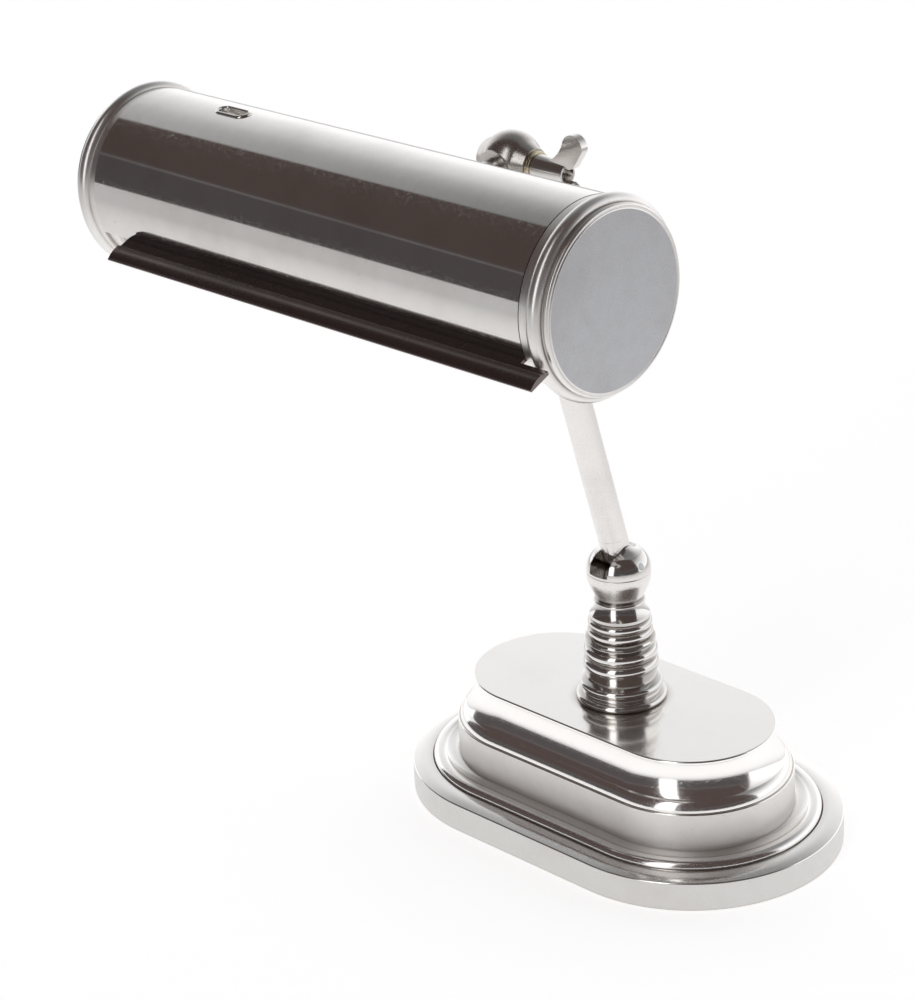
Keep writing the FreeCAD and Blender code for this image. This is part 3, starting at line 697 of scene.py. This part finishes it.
@dataclass(frozen=True)
class Plain:
    """A surface that isn't metal: felt, moulding or frosted glass."""

    name: str
    color: Color
    second: Color
    roughness: float
    grain: float
    depth: float
    transmission: float = 0.0
    sheen: float = 0.0

    def material(self) -> bpy.types.Material:
        """Builds the material.

        Returns:
            The new material.
        """
        mat = bpy.data.materials.new(self.name)
        mat.use_nodes = True
        graph = Graph(mat.node_tree)
        spot = graph.add("TexCoord").outputs["Object"]
        grain = graph.noise(spot, self.grain, 5.0)
        cloud = graph.noise(spot, 30.0, 3.0)
        color = graph.mix(graph.fit(grain, 0.35, 0.7), self.color, self.second)
        rough = graph.fit(cloud, 0.3, 0.7, self.roughness - 0.06, self.roughness + 0.06)
        bump = graph.add("Bump", {"Height": grain, "Strength": 0.6, "Distance": self.depth * MM})
        inputs = {
            "Base Color": color,
            "Roughness": rough,
            "Normal": bump.outputs[0],
            "Transmission Weight": self.transmission,
            "Sheen Weight": self.sheen,
        }
        shader = graph.add("BsdfPrincipled", inputs)
        graph.add("OutputMaterial", {"Surface": shader.outputs[0]})
        return mat


FINISHES = {
    "tube": Metal(
        "polished_tube", SILVER, roughness=0.05,
        tarnish_share=0.16, hairline=Hairline.AROUND_X, line_depth=0.10, scratches=0.7,
    ),
    "polished": Metal(
        "polished_turned", SILVER, roughness=0.09,
        tarnish_share=0.16, hairline=Hairline.AROUND_Z, line_depth=0.05, recess=0.75,
    ),
    "base": Metal(
        "polished_base", (1.0, 0.985, 0.965), roughness=0.12,
        tarnish_share=0.04, line_depth=0.05, scratches=0.7, recess=0.75, recess_reach=4.0,
    ),
    "satin": Metal(
        "satin_turned", (0.74, 0.73, 0.715), roughness=0.26,
        tarnish_share=0.16, hairline=Hairline.AROUND_Z, line_depth=0.10, scratches=0.4,
    ),
    "band": Metal(
        "satin_band", (0.95, 0.935, 0.915), roughness=0.52,
        tarnish_share=0.08, line_depth=0.03, scratches=0.4,
    ),
    "wall": Metal(
        "satin_wall", (0.68, 0.67, 0.655), roughness=0.30,
        tarnish_share=0.12, line_depth=0.03, scratches=0.4,
    ),
    "ball": Metal(
        "satin_ball", (0.60, 0.575, 0.55), roughness=0.24,
        tarnish_share=0.20, line_depth=0.03,
    ),
    "washer": Metal(
        "gilt_washer", (0.80, 0.73, 0.55), roughness=0.18, tarnish=(0.40, 0.33, 0.20),
        tarnish_share=0.2, hairline=Hairline.AROUND_X, line_depth=0.05, scratches=0.4,
    ),
    "arm": Metal(
        "satin_arm", (0.83, 0.81, 0.79), roughness=0.24,
        tarnish_share=0.10, line_depth=0.03, scratches=0.4,
    ),
    "cap": Metal(
        "polished_cap", (0.86, 0.845, 0.825), roughness=0.28,
        tarnish_share=0.12, hairline=Hairline.AROUND_X, line_depth=0.05, recess=0.8,
    ),
    "disc": Metal(
        "satin_disc", (0.56, 0.57, 0.595), roughness=0.24, tarnish=(0.34, 0.31, 0.29),
        tarnish_share=0.35, line_depth=0.03, scratches=0.4,
    ),
    # The lip gets a dark brown colour, much darker than the plate on the rest of the shade
    "dark": Metal(
        "dark_brown_lip", (0.25, 0.21, 0.205), roughness=0.18, tarnish=(0.12, 0.10, 0.095),
        tarnish_share=0.4, line_depth=0.03, scratches=0.4,
    ),
    "steel": Metal("zinc_steel", (0.52, 0.52, 0.53), roughness=0.30, tarnish=(0.30, 0.29, 0.28)),
    "iron": Metal(
        "cast_iron", (0.18, 0.18, 0.18), roughness=0.55, tarnish=(0.09, 0.08, 0.075),
        tarnish_share=0.5,
    ),
    "brass": Metal(
        "turned_brass", (0.72, 0.56, 0.31), roughness=0.20, tarnish=(0.34, 0.24, 0.12),
        hairline=Hairline.AROUND_X, line_depth=0.06, scratches=0.4,
    ),
    "bulb_metal": Metal(
        "bulb_cap", (0.75, 0.75, 0.74), roughness=0.28, tarnish=(0.45, 0.44, 0.42),
        tarnish_share=0.25,
    ),
    "felt": Plain(
        "pressed_felt", (0.07, 0.095, 0.075), (0.11, 0.14, 0.11),
        roughness=0.95, grain=1800.0, depth=0.25, sheen=0.4,
    ),
    "moulding": Plain(
        "black_moulding", (0.025, 0.025, 0.025), (0.045, 0.043, 0.04),
        roughness=0.28, grain=700.0, depth=0.03,
    ),
    "glass": Plain(
        "frosted_glass", (0.88, 0.89, 0.88), (0.93, 0.93, 0.92),
        roughness=0.42, grain=500.0, depth=0.01, transmission=0.35,
    ),
}

NODE_FINISH = {
    Slot.POLISHED: "polished",
    Slot.SATIN: "satin",
    Slot.DARK: "dark",
    Slot.IRON: "iron",
    Slot.STEEL: "steel",
    Slot.BRASS: "brass",
    Slot.FELT: "felt",
    Slot.MOULDING: "moulding",
    Slot.BULB_METAL: "bulb_metal",
    Slot.GLASS: "glass",
}


class Workshop:
    """Gives every piece its finish, its body and its place in the frame."""

    def __init__(self, frame: dict) -> None:
        """Makes the finishes.
        """
        self.frame = frame
        self.materials = {key: finish.material() for key, finish in FINISHES.items()}
        self.slots = {row["node"]: Slot(row["material_slot"]) for row in frame["record"]["subparts"]}

    def place(self, obj: Obj, finish: str, body: str, *nodes: str) -> Obj:
        """Finishes a piece and lets it stand for its CAD nodes.

        Args:
            obj: the piece.
            finish: a key of the finishes.
            body: the body it rides on.
            nodes: the CAD nodes it replaces.

        Returns:
            The same piece.
        """
        obj.data.materials.clear()
        obj.data.materials.append(self.materials[finish])
        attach(obj, body)
        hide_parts(*nodes)
        log.info("%s: %d faces on %s", obj.name, len(obj.data.polygons), body)
        return obj

    def soften(self, node: str, body: str, width: float, finish: str | None = None) -> Obj:
        """Replaces a CAD node by a copy with rounded edges.

        Args:
            node: the CAD node.
            body: the body it rides on.
            width: the rounding in millimetres.
            finish: a key of the finishes, if not the slot's own.

        Returns:
            The new piece.
        """
        source = self.frame["nodes"][node]
        bm = bmesh.new()
        bm.from_mesh(source.data)
        obj = object_from(bm, "soft_" + node, source.matrix_world.copy())
        obj = smoothed(bevelled(obj, width))
        return self.place(obj, finish or NODE_FINISH[self.slots[node]], body, node)

    def dress(self) -> None:
        """Gives the CAD nodes that stay their finishes."""
        for name, node in self.frame["nodes"].items():
            if node.hide_render:
                continue
            node.data.materials.clear()
            node.data.materials.append(self.materials[NODE_FINISH[self.slots[name]]])


@dataclass(frozen=True)
class Base:
    """The stepped oval base."""

    half_width: float = 65.0
    half_straight: float = 38.5
    rim_z: float = 0.8
    seat_z: float = 4.0
    seat_depth: float = 2.5
    roof_z: float = 10.7
    plinth_z: float = 13.7
    crest_z: float = 17.6
    band_low: float = 17.0
    band_high: float = 33.9
    top_z: float = 54.3
    wall: float = 3.0
    screw_x: float = 30.0
    screw_y: float = 53.0
    screw_radius: float = 2.05
    screw_top: float = 9.7
    boss_radius: float = 4.5
    pipe_radius: float = 5.2
    inlet_radius: float = 3.82
    inlet_z: float = 7.9

    def outline(self) -> list[Step]:
        """The cover's section, from the ceiling inside round the rim to the top.

        Returns:
            The section as an outline.
        """
        w, p, c, t = self.half_width, self.plinth_z, self.crest_z, self.top_z
        low, high = self.band_low, self.band_high
        crest, band, top = w - 12.4, w - 20.8, w - 29.0
        inside = w - self.seat_depth - self.wall / 2
        return [
            (0, t - self.wall),
            (top - self.wall, t - self.wall),
            (top - self.wall, high),
            (band - self.wall, high),
            (band - self.wall, self.roof_z),
            (inside, self.roof_z),
            (inside, self.seat_z),
            (w - self.seat_depth, self.seat_z),
            (w - self.seat_depth, self.rim_z),
            (w - 0.3, self.rim_z),
            (w - 0.1, self.rim_z + 0.1, w, self.rim_z + 0.3),
            (w, p - 0.6),
            (w - 0.2, p - 0.2, w - 0.6, p),
            (w - 5.0, p + 0.8, w - 8.8, p + 0.9),
            (w - 9.4, p + 0.3),
            (crest + 2.2, c - 0.9, crest, c),
            (crest - 1.8, c - 0.1, crest - 2.9, c - 0.7),
            (band + 2.8, low - 0.6, band + 0.6, low - 0.1),
            (band, low),
            (band, high - 0.6),
            (band - 0.2, high - 0.2, band - 0.6, high),
            (band - 1.0, high),
            (band - 1.8, high + 2.6, band - 4.2, high + 5.0),
            (top + 1.0, high + 10.4, top + 0.1, t - 1.7),
            (top + 0.5, t - 1.3),
            (top + 0.5, t - 0.6),
            (top + 0.3, t - 0.2, top - 0.1, t),
            (0, t),
        ]

    def build(self, shop: Workshop) -> None:
        """Makes the cover with its screw bosses and its pipe and cord holes.

        Args:
            shop: the workshop.
        """
        cover = oval_swept("base_cover_shell", self.outline(), self.half_straight)
        places = [moved(sx * self.screw_x, sy * self.screw_y, 0) for sx in (-1, 1) for sy in (-1, 1)]
        boss_top = self.roof_z + 1.5
        boss = [
            (0, self.screw_top),
            (self.screw_radius, self.screw_top),
            (self.screw_radius, self.seat_z),
            (self.boss_radius, self.seat_z),
            (self.boss_radius, boss_top),
            (0, boss_top),
        ]
        cover = combined(cover, [spun("boss", boss, place, steps=64) for place in places], "UNION")
        pipe = cylinder(self.pipe_radius, 50, 56)
        inlet = cylinder(self.inlet_radius, 60, 67, moved(0, 0, self.inlet_z) @ ALONG_Y)
        cover = combined(cover, [pipe, inlet], "DIFFERENCE")
        shop.place(smoothed(cover, 38.0), "base", "base", "base_cover")
        upright = ((self.rim_z, self.plinth_z - 0.5), (self.band_low, self.band_high))
        for index, (finish, (low, high)) in enumerate(zip(("wall", "band"), upright), 1):
            cover.data.materials.append(shop.materials[finish])
            for polygon in cover.data.polygons:
                if low < polygon.center.z / MM < high and abs(polygon.normal.z) < 0.3:
                    polygon.material_index = index
        shop.soften("cord_inlet", "base", 0.3)


@dataclass(frozen=True)
class Column:
    """The turned column and the lower half of the ball."""

    foot_z: float = 54.3
    height: float = 47.6
    foot: float = 19.3
    neck: float = 10.4
    bore: float = 5.2
    ball: float = 13.7
    cup_height: float = 11.6
    cup_roof: float = 8.6
    rivet_bore: float = 3.05
    pipe_bore: float = 5.05

    def outline(self) -> list[Step]:
        """The column's section.

        Returns:
            A ring of points.
        """
        z, f, n = self.foot_z, self.foot, self.neck
        return [
            (self.bore, z),
            (f - 0.6, z),
            (f + 0.2, z + 1.6, f - 0.8, z + 3.2),
            (f - 2.4, z + 3.7),
            (f - 2.9, z + 4.8, f - 1.9, z + 6.0),
            (f - 1.1, z + 7.6, f - 2.2, z + 9.3),
            (f - 4.1, z + 10.0),
            (f - 3.6, z + 14.6),
            (f - 2.9, z + 16.6, f - 4.0, z + 19.2),
            (f - 4.9, z + 19.6),
            (f - 3.3, z + 22.3, f - 4.4, z + 24.9),
            (f - 5.3, z + 25.4),
            (f - 4.3, z + 27.3),
            (f - 4.1, z + 28.2),
            (f - 4.4, z + 29.0),
            (f - 6.2, z + 29.4),
            (f - 5.2, z + 31.4, f - 5.9, z + 33.3),
            (f - 6.8, z + 33.7),
            (f - 5.5, z + 35.4, f - 6.3, z + 37.3),
            (f - 7.2, z + 37.7),
            (f - 6.3, z + 38.5),
            (f - 6.5, z + 39.7),
            (n + 1.0, z + 41.6, n - 0.2, z + 44.8),
            (n + 0.6, z + 45.8, n - 0.1, z + 46.5),
            (n - 0.8, z + 46.9),
            (n - 0.3, z + self.height),
            (self.bore, z + self.height),
        ]

    def build(self, shop: Workshop) -> None:
        """Makes the column and the cup.

        Args:
            shop: the workshop.
        """
        column = spun("column_turned", self.outline(), closed=True, steps=192)
        shop.place(smoothed(column, 30.0), "polished", "base", "column")
        z, r, n = self.foot_z + self.height, self.ball, self.neck
        outline = [
            (self.rivet_bore, z + self.cup_roof),
            (self.pipe_bore, z + self.cup_roof),
            (self.pipe_bore, z),
            (n - 0.3, z),
            (n + 0.1, z + 0.6),
            (r - 2.0, z + 3.2, r - 0.4, z + 7.4),
            (r - 0.1, z + 9.0, r, z + 11.4),
            (r - 0.06, z + 11.54, r - 0.2, z + self.cup_height),
            (self.rivet_bore, z + self.cup_height),
        ]
        cup = spun("cup_turned", outline, closed=True, steps=192)
        shop.place(smoothed(cup, 30.0), "arm", "base", "swivel_cup")


@dataclass(frozen=True)
class SwivelHead:
    """The slotted upper half of the ball and its pin."""

    dome_edge: float = 0.2
    pin_edge: float = 0.12

    def build(self, shop: Workshop) -> None:
        """Makes the dome and the pin.

        Args:
            shop: the workshop.
        """
        shop.soften("swivel_dome", "swivel_head", self.dome_edge)
        shop.soften("tilt_pin", "swivel_head", self.pin_edge)


@dataclass(frozen=True)
class Arm:
    """The arm between the two balls."""

    radius: float = 6.25
    wall: float = 1.0
    low: float = 13.0
    high: float = 176.25
    edge: float = 0.12

    def build(self, shop: Workshop) -> None:
        """Makes the tube and softens its two ends.

        Args:
            shop: the workshop.
        """
        outline = ring_section(self.radius - self.wall, self.radius, self.low, self.high, self.edge)
        tube = spun("arm_tube_turned", outline, ON_ARM, closed=True, steps=128)
        shop.place(smoothed(tube), "arm", "arm", "arm_tube")
        shop.soften("arm_tang", "arm", 0.25, "arm")
        shop.soften("arm_eye", "arm", 0.2, "arm")


@dataclass(frozen=True)
class Knuckle:
    """The upper ball on the stem, its washers and bolt, and the wing nut."""

    cheek_x: float = 12.3
    washer_radii: Point = (6.3, 6.1)
    washer_bore: float = 2.7
    washer_edge: float = 0.15

    def build(self, shop: Workshop) -> None:
        """Makes the ball, its bolt, the washers, the stem and the wing nut.

        Args:
            shop: the workshop.
        """
        shop.soften("knuckle_ball", "shade", 0.12, "ball")
        shop.soften("knuckle_bolt", "shade", 0.2)
        shop.place(self.washers(), "washer", "shade", "knuckle_washers")
        shop.soften("shade_stem", "shade", 0.15, "arm")
        shop.soften("wing_nut", "clamp", 0.4)

    def washers(self) -> Obj:
        """The two brass washers under the nut.

        Returns:
            Both washers as one object.
        """
        rings = []
        for index, radius in enumerate(self.washer_radii):
            low = self.cheek_x + index
            outline = ring_section(self.washer_bore, radius, low, low + 1, self.washer_edge)
            ring = spun("washers_turned", outline, ON_KNUCKLE @ ALONG_X, closed=True, steps=96)
            rings.append(smoothed(ring))
        return joined(*rings)


@dataclass(frozen=True)
class Shade:
    """The tubular shade, its lip and its end caps."""

    radius: float = 35.0
    wall: float = 1.0
    half_length: float = 113.0
    half_wrap: float = 120.0
    wrap_turn: float = 11.2
    vent_x: float = -65.0
    vent_straight: float = 9.0
    vent_radius: float = 2.6
    rim_radius: float = 4.1
    rim_height: float = 0.7
    vent_turn: float = -1.2
    bead: float = 3.1
    bead_proud: float = 1.8
    collar: float = 3.3
    cap_sheet: float = 1.3
    lip_turn: float = 18.8
    lip_left: float = -98.5
    lip_beyond: float = 12.2
    lip_rise: float = 0.9
    lip_sheet: float = 1.4
    stem_hole: float = 3.2

    def build_tube(self, shop: Workshop) -> None:
        """Bends a flat sheet to the tube, cuts its holes and adds the vent slot's rolled rim.

        Args:
            shop: the workshop.
        """
        r = self.radius
        bm = bmesh.new()
        bmesh.ops.create_grid(bm, x_segments=90, y_segments=200, size=1.0)
        low, high = self.wrap_turn - self.half_wrap, self.wrap_turn + self.half_wrap
        for vert in bm.verts:
            theta = math.radians(low + (high - low) * (vert.co.y + 1) / 2)
            x = vert.co.x * self.half_length
            vert.co = Vector((x, r * math.sin(theta), r * math.cos(theta))) * MM
        tube = object_from(bm, "shade_tube_bent", ON_SHADE)
        axis = ON_SHADE @ Vector((0, 0, 0))
        face = tube.data.polygons[len(tube.data.polygons) // 2]
        outward = Vector((0, face.center.y - axis.y, face.center.z - axis.z)).dot(face.normal) > 0
        mod = tube.modifiers.new("wall", "SOLIDIFY")
        mod.thickness = self.wall * MM
        mod.offset = -1.0 if outward else 1.0
        baked(tube)
        vent = ON_SHADE @ turned(self.vent_turn, "X") @ moved(self.vent_x, 0, 0)
        half, round_end = self.vent_straight / 2, self.vent_radius
        outline: list[Step] = [
            (-half, -round_end),
            (half, -round_end),
            (half + round_end, 0, half, round_end),
            (-half, round_end),
            (-half - round_end, 0, -half, -round_end),
        ]
        slot = extruded("cutter", outline, 45, vent @ moved(0, 0, 5))
        hole = cylinder(self.stem_hole, 5, 50, ON_SHADE @ ALONG_Y)
        tube = combined(tube, [slot, hole], "DIFFERENCE")
        self.set_round_normals(tube)
        shop.place(tube, "tube", "shade", "shade_tube")
        shop.place(self.vent_rim(vent), "tube", "shade", "shade_tube")

    def vent_rim(self, vent: Matrix) -> Obj:
        """The rolled rim round the vent, bent to the tube.

        Args:
            vent: the vent's place.

        Returns:
            The rim.
        """
        r, wide, hole, up = self.radius, self.rim_radius, self.vent_radius, self.rim_height
        mid = (wide + hole) / 2
        outline = [
            (hole, -0.9),
            (hole, 0.1),
            (hole + 0.25, up * 0.8, mid, up),
            (mid + 0.65 * (wide - mid), up * 0.7, wide, -0.1),
        ]
        rim = spun("vent_rim_rolled", outline, closed=True, steps=90)
        for vert in rim.data.vertices:
            vert.co.x += math.copysign(self.vent_straight / 2 * MM, vert.co.x)
            y = vert.co.y / MM
            vert.co.z += math.sqrt(r * r - y * y) * MM
        rim.data.transform(vent)
        return smoothed(rim)

    def set_round_normals(self, obj: Obj) -> None:
        """Shades the tube's round faces as a true cylinder.

        Args:
            obj: the tube.
        """
        inverse = ON_SHADE.inverted()
        turn = ON_SHADE.to_3x3()
        mesh = obj.data
        mesh.shade_smooth()
        normals = []
        for face in mesh.polygons:
            for index in face.vertices:
                spot = inverse @ mesh.vertices[index].co
                flat = Vector((0, spot.y, spot.z)).normalized()
                round_normal = turn @ flat
                facing = round_normal.dot(face.normal)
                if abs(facing) < 0.7:
                    normals.append(face.normal.copy())
                else:
                    normals.append(round_normal * math.copysign(1.0, facing))
        mesh.normals_split_custom_set(normals)

    def build_lip(self, shop: Workshop) -> None:
        """Makes the finger lip.

        Args:
            shop: the workshop.
        """
        r, rise, thick = self.radius, self.lip_rise, self.lip_sheet
        inner, hem, crest, outer = r - self.wall, r + 4.5, r + 6.0, r + 12.0
        left, tip = self.lip_left, self.half_length + self.lip_beyond
        outline = [
            (inner, 0),
            (hem, 0),
            (hem + 0.4, 0.8 * rise, crest, rise),
            (crest + 3.3, 0.6 * rise, outer - 0.6, -0.3),
            (outer, -0.8, outer - 0.5, -thick),
            (inner, -thick),
        ]
        place = ON_SHADE @ turned(self.lip_turn, "X")
        to_side = Matrix(((0, 0, 1, 0), (-1, 0, 0, 0), (0, 1, 0, 0), (0, 0, 0, 1)))
        lip = extruded("lip_folded", outline, tip - left, place @ moved(left, 0, 0) @ to_side, 8)
        corner = (self.half_length - 0.4, -r - self.bead_proud - 0.4, -20)
        lip = combined(lip, [box(corner, (tip + 1, 0, 20), place)], "DIFFERENCE")
        shop.place(smoothed(lip), "dark", "shade", "shade_lip")

    def build_cap(self, shop: Workshop, side: int) -> None:
        """Makes one end cap.

        Args:
            shop: the workshop.
            side: 1 for the right end and -1 for the left.
        """
        r, b, sheet = self.radius, self.bead, self.cap_sheet
        skirt, axis, start = r - self.wall - 0.2, r + self.bead_proud - b, self.half_length - 6.0
        collar_x = self.half_length + 0.2
        bead_x = collar_x + self.collar + b
        groove, face, step, flat = bead_x + b, self.half_length + 12.4, r - 0.9, r - 3.0
        outline = [
            (0, face - sheet),
            (skirt - sheet, face - sheet),
            (skirt - sheet, start),
            (skirt, start),
            (skirt, collar_x),
            (r - 0.15, collar_x),
            (r - 0.15, bead_x - b + 0.3),
            (r + self.bead_proud, bead_x, axis, groove),
            (axis - 0.3, groove + 0.3),
            (step - 0.4, groove + 0.8),
            (step, groove + 1.5, flat + 0.6, face - 0.3),
            (flat + 0.3, face - 0.1, flat, face),
            (0, face),
        ]
        name = "right" if side > 0 else "left"
        cap = spun("end_cap_" + name + "_spun", outline, ON_SHADE @ turned(90 * side, "Y"), steps=224)
        shop.place(smoothed(cap, 34.0), "cap", "shade", "end_cap_" + name)
        cap.data.materials.append(shop.materials["disc"])
        for polygon in cap.data.polygons:
            out = (ON_SHADE.inverted() @ polygon.center) / MM
            if side * out.x > face - 0.05 and math.hypot(out.y, out.z) < flat - 0.2:
                polygon.material_index = 1

    def build(self, shop: Workshop) -> None:
        """Makes the whole shade.

        Args:
            shop: the workshop.
        """
        self.build_tube(shop)
        self.build_lip(shop)
        for side in (1, -1):
            self.build_cap(shop, side)
        shop.soften("stem_collar", "shade", 0.15)


@dataclass(frozen=True)
class Lighting:
    """The lampholder and bulb inside the shade."""

    bulb_radius: float = 14.0
    neck: float = 6.6
    wall: float = 0.8
    holder_back: float = 94.5
    holder_length: float = 38.0
    cap_length: float = 25.0
    straight: float = 128.0

    def envelope(self, name: str, shrink: float) -> Obj:
        """One face of the bulb's glass.

        Args:
            name: the object's name.
            shrink: how far it lies inside the bulb's outside.

        Returns:
            The closed shell.
        """
        mouth = self.holder_back - self.holder_length
        tip = mouth + self.cap_length - 1.0
        neck_end, shoulder = tip - 8.0, mouth - 0.6
        far, r, n = shoulder - self.straight, self.bulb_radius - shrink, self.neck - shrink
        outline = [
            (0, -neck_end + shrink),
            (n, -neck_end + shrink),
            (n, -shoulder),
            (n + 3.2, -shoulder + 3.6, r, -shoulder + 12.0),
            (r, -far - r - shrink),
            (r * math.sqrt(0.5), -far - shrink - r * (1 - math.sqrt(0.5)), 0, -far - shrink),
        ]
        return spun(name, outline, ON_SHADE @ ALONG_X, steps=96)

    def build(self, shop: Workshop) -> None:
        """Softens the lampholder's pieces and turns the hollow bulb.

        Args:
            shop: the workshop.
        """
        widths = {
            "holder_bracket": 0.3,
            "holder_nut": 0.2,
            "stem_nut": 0.2,
            "lampholder": 0.4,
            "bulb_cap": 0.15,
        }
        for node, width in widths.items():
            shop.soften(node, "shade", width)
        hollow = self.envelope("hollow", self.wall)
        hollow.data.flip_normals()
        bulb = joined(self.envelope("bulb_blown", 0.0), hollow)
        shop.place(smoothed(bulb), "glass", "shade", "bulb_glass")


# The studio's brightness, by height where it changes
BACKDROP_STOPS = (
    (0.0, 1.0), (0.20, 0.95), (0.40, 0.74), (0.55, 0.57), (0.67, 0.34), (0.75, 0.20), (1.0, 0.13),
)
BACKDROP_TINT = (1.25, 1.25, 1.26)
ROOM_LOW = (0.080, 0.072, 0.072)
ROOM_HIGH = (0.080, 0.060, 0.055)
STRIP = (0.15, 0.14, 0.14)
TALL_LIGHT = (1.7, 1.7, 1.7)
TALL_BEARING = 13


def make_world() -> None:
    """A studio as the metal sees it: a bright backdrop behind, a dark room in front, one tall light."""
    world = bpy.data.worlds.new("studio")
    bpy.context.scene.world = world
    world.use_nodes = True
    graph = Graph(world.node_tree)
    axes = graph.add("SeparateXYZ", {0: graph.add("TexCoord").outputs["Generated"]})
    x, y, z = axes.outputs
    side = graph.math("ADD", graph.math("MULTIPLY", x, -0.3), y)
    beyond = graph.fit(side, 0.165, 0.205, smooth=True)
    behind = graph.math("MULTIPLY", beyond, graph.fit(z, -0.14, -0.10))
    ramp = graph.add("ValToRGB", {0: graph.fit(z, 0.0, 1.0)})
    elements = ramp.color_ramp.elements
    for place, _ in BACKDROP_STOPS[1:-1]:
        elements.new(place)
    for element, (_, value) in zip(elements, BACKDROP_STOPS):
        element.color = (value, value, value, 1.0)
    tinted = graph.add("VectorMath", {0: ramp.outputs[0], 1: BACKDROP_TINT}, operation="MULTIPLY")
    backdrop = tinted.outputs[0]
    room = graph.mix(graph.fit(z, 0.36, 0.40), ROOM_LOW, ROOM_HIGH)
    strip = graph.math("MULTIPLY", graph.fit(z, 0.335, 0.345), graph.fit(z, 0.370, 0.360))
    room = graph.mix(strip, room, STRIP)
    bearing = graph.math("ARCTAN2", x, graph.math("MULTIPLY", y, -1.0))
    off = graph.math("ABSOLUTE", graph.math("SUBTRACT", bearing, math.radians(TALL_BEARING)))
    wide = graph.fit(off, math.radians(11.5), math.radians(10.0))
    tall = graph.math("MULTIPLY", wide, graph.fit(z, 0.92, 0.88))
    room = graph.mix(tall, room, TALL_LIGHT)
    seen = graph.mix(behind, room, backdrop)
    reflected = graph.add("Background", {0: seen, 1: 1.0})
    white = graph.add("Background", {0: (1.0, 1.0, 1.0, 1.0), 1: 1.0})
    camera = graph.add("LightPath").outputs["Is Camera Ray"]
    mixed = graph.add("MixShader", {0: camera, 1: reflected.outputs[0], 2: white.outputs[0]})
    graph.add("OutputWorld", {"Surface": mixed.outputs[0]})


def make_floor() -> None:
    """A pale floor that keeps a soft shadow."""
    bm = bmesh.new()
    bmesh.ops.create_grid(bm, x_segments=1, y_segments=1, size=4.0)
    floor = object_from(bm, "floor")
    mat = bpy.data.materials.new("pale_floor")
    mat.use_nodes = True
    graph = Graph(mat.node_tree)
    spot = graph.add("TexCoord").outputs["Object"]
    distance = graph.add("VectorMath", {0: spot}, operation="LENGTH").outputs["Value"]
    fading = graph.math("MULTIPLY", graph.fit(distance, 0.22, 1.15), 0.42)
    mirrored = graph.add("LightPath").outputs["Is Glossy Ray"]
    strength = graph.math("SUBTRACT", 0.72, graph.math("MULTIPLY", mirrored, fading))
    glow = graph.add("Emission", {0: (1.0, 1.0, 1.0, 1.0), 1: strength})
    flat = graph.add("BsdfDiffuse", {0: (0.86, 0.86, 0.87, 1.0)})
    both = graph.add("AddShader", {0: glow.outputs[0], 1: flat.outputs[0]})
    graph.add("OutputMaterial", {"Surface": both.outputs[0]})
    floor.data.materials.append(mat)


def make_camera() -> None:
    """The camera at the photo's place and angle."""
    data = bpy.data.cameras.new("camera")
    data.sensor_fit = "HORIZONTAL"
    data.sensor_width = 36.0
    data.lens = 115.16
    data.clip_start, data.clip_end = 0.05, 50.0
    data.dof.use_dof = False
    camera = bpy.data.objects.new("camera", data)
    right = Vector((0.70855, 0.7043, -0.04374))
    down = Vector((0.25096, -0.30943, -0.91721))
    forward = Vector((-0.65953, 0.63891, -0.39599))
    place = Matrix((right, -down, -forward)).transposed().to_4x4()
    place.translation = Vector((760.5, -829.6, 633.4)) * MM
    camera.matrix_world = place
    bpy.context.collection.objects.link(camera)
    bpy.context.scene.camera = camera
    bpy.context.scene.view_settings.view_transform = "Standard"


def main() -> None:
    """Builds the lamp around its CAD frame."""
    logging.basicConfig(level=logging.INFO, format="%(name)s: %(message)s")
    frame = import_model()
    shop = Workshop(frame)
    makers: list[Callable[[Workshop], None]] = [
        Base().build,
        Column().build,
        SwivelHead().build,
        Arm().build,
        Knuckle().build,
        Shade().build,
        Lighting().build,
    ]
    for make in makers:
        make(shop)
    shop.dress()
    make_world()
    make_floor()
    make_camera()


if __name__ == "__main__":
    main()
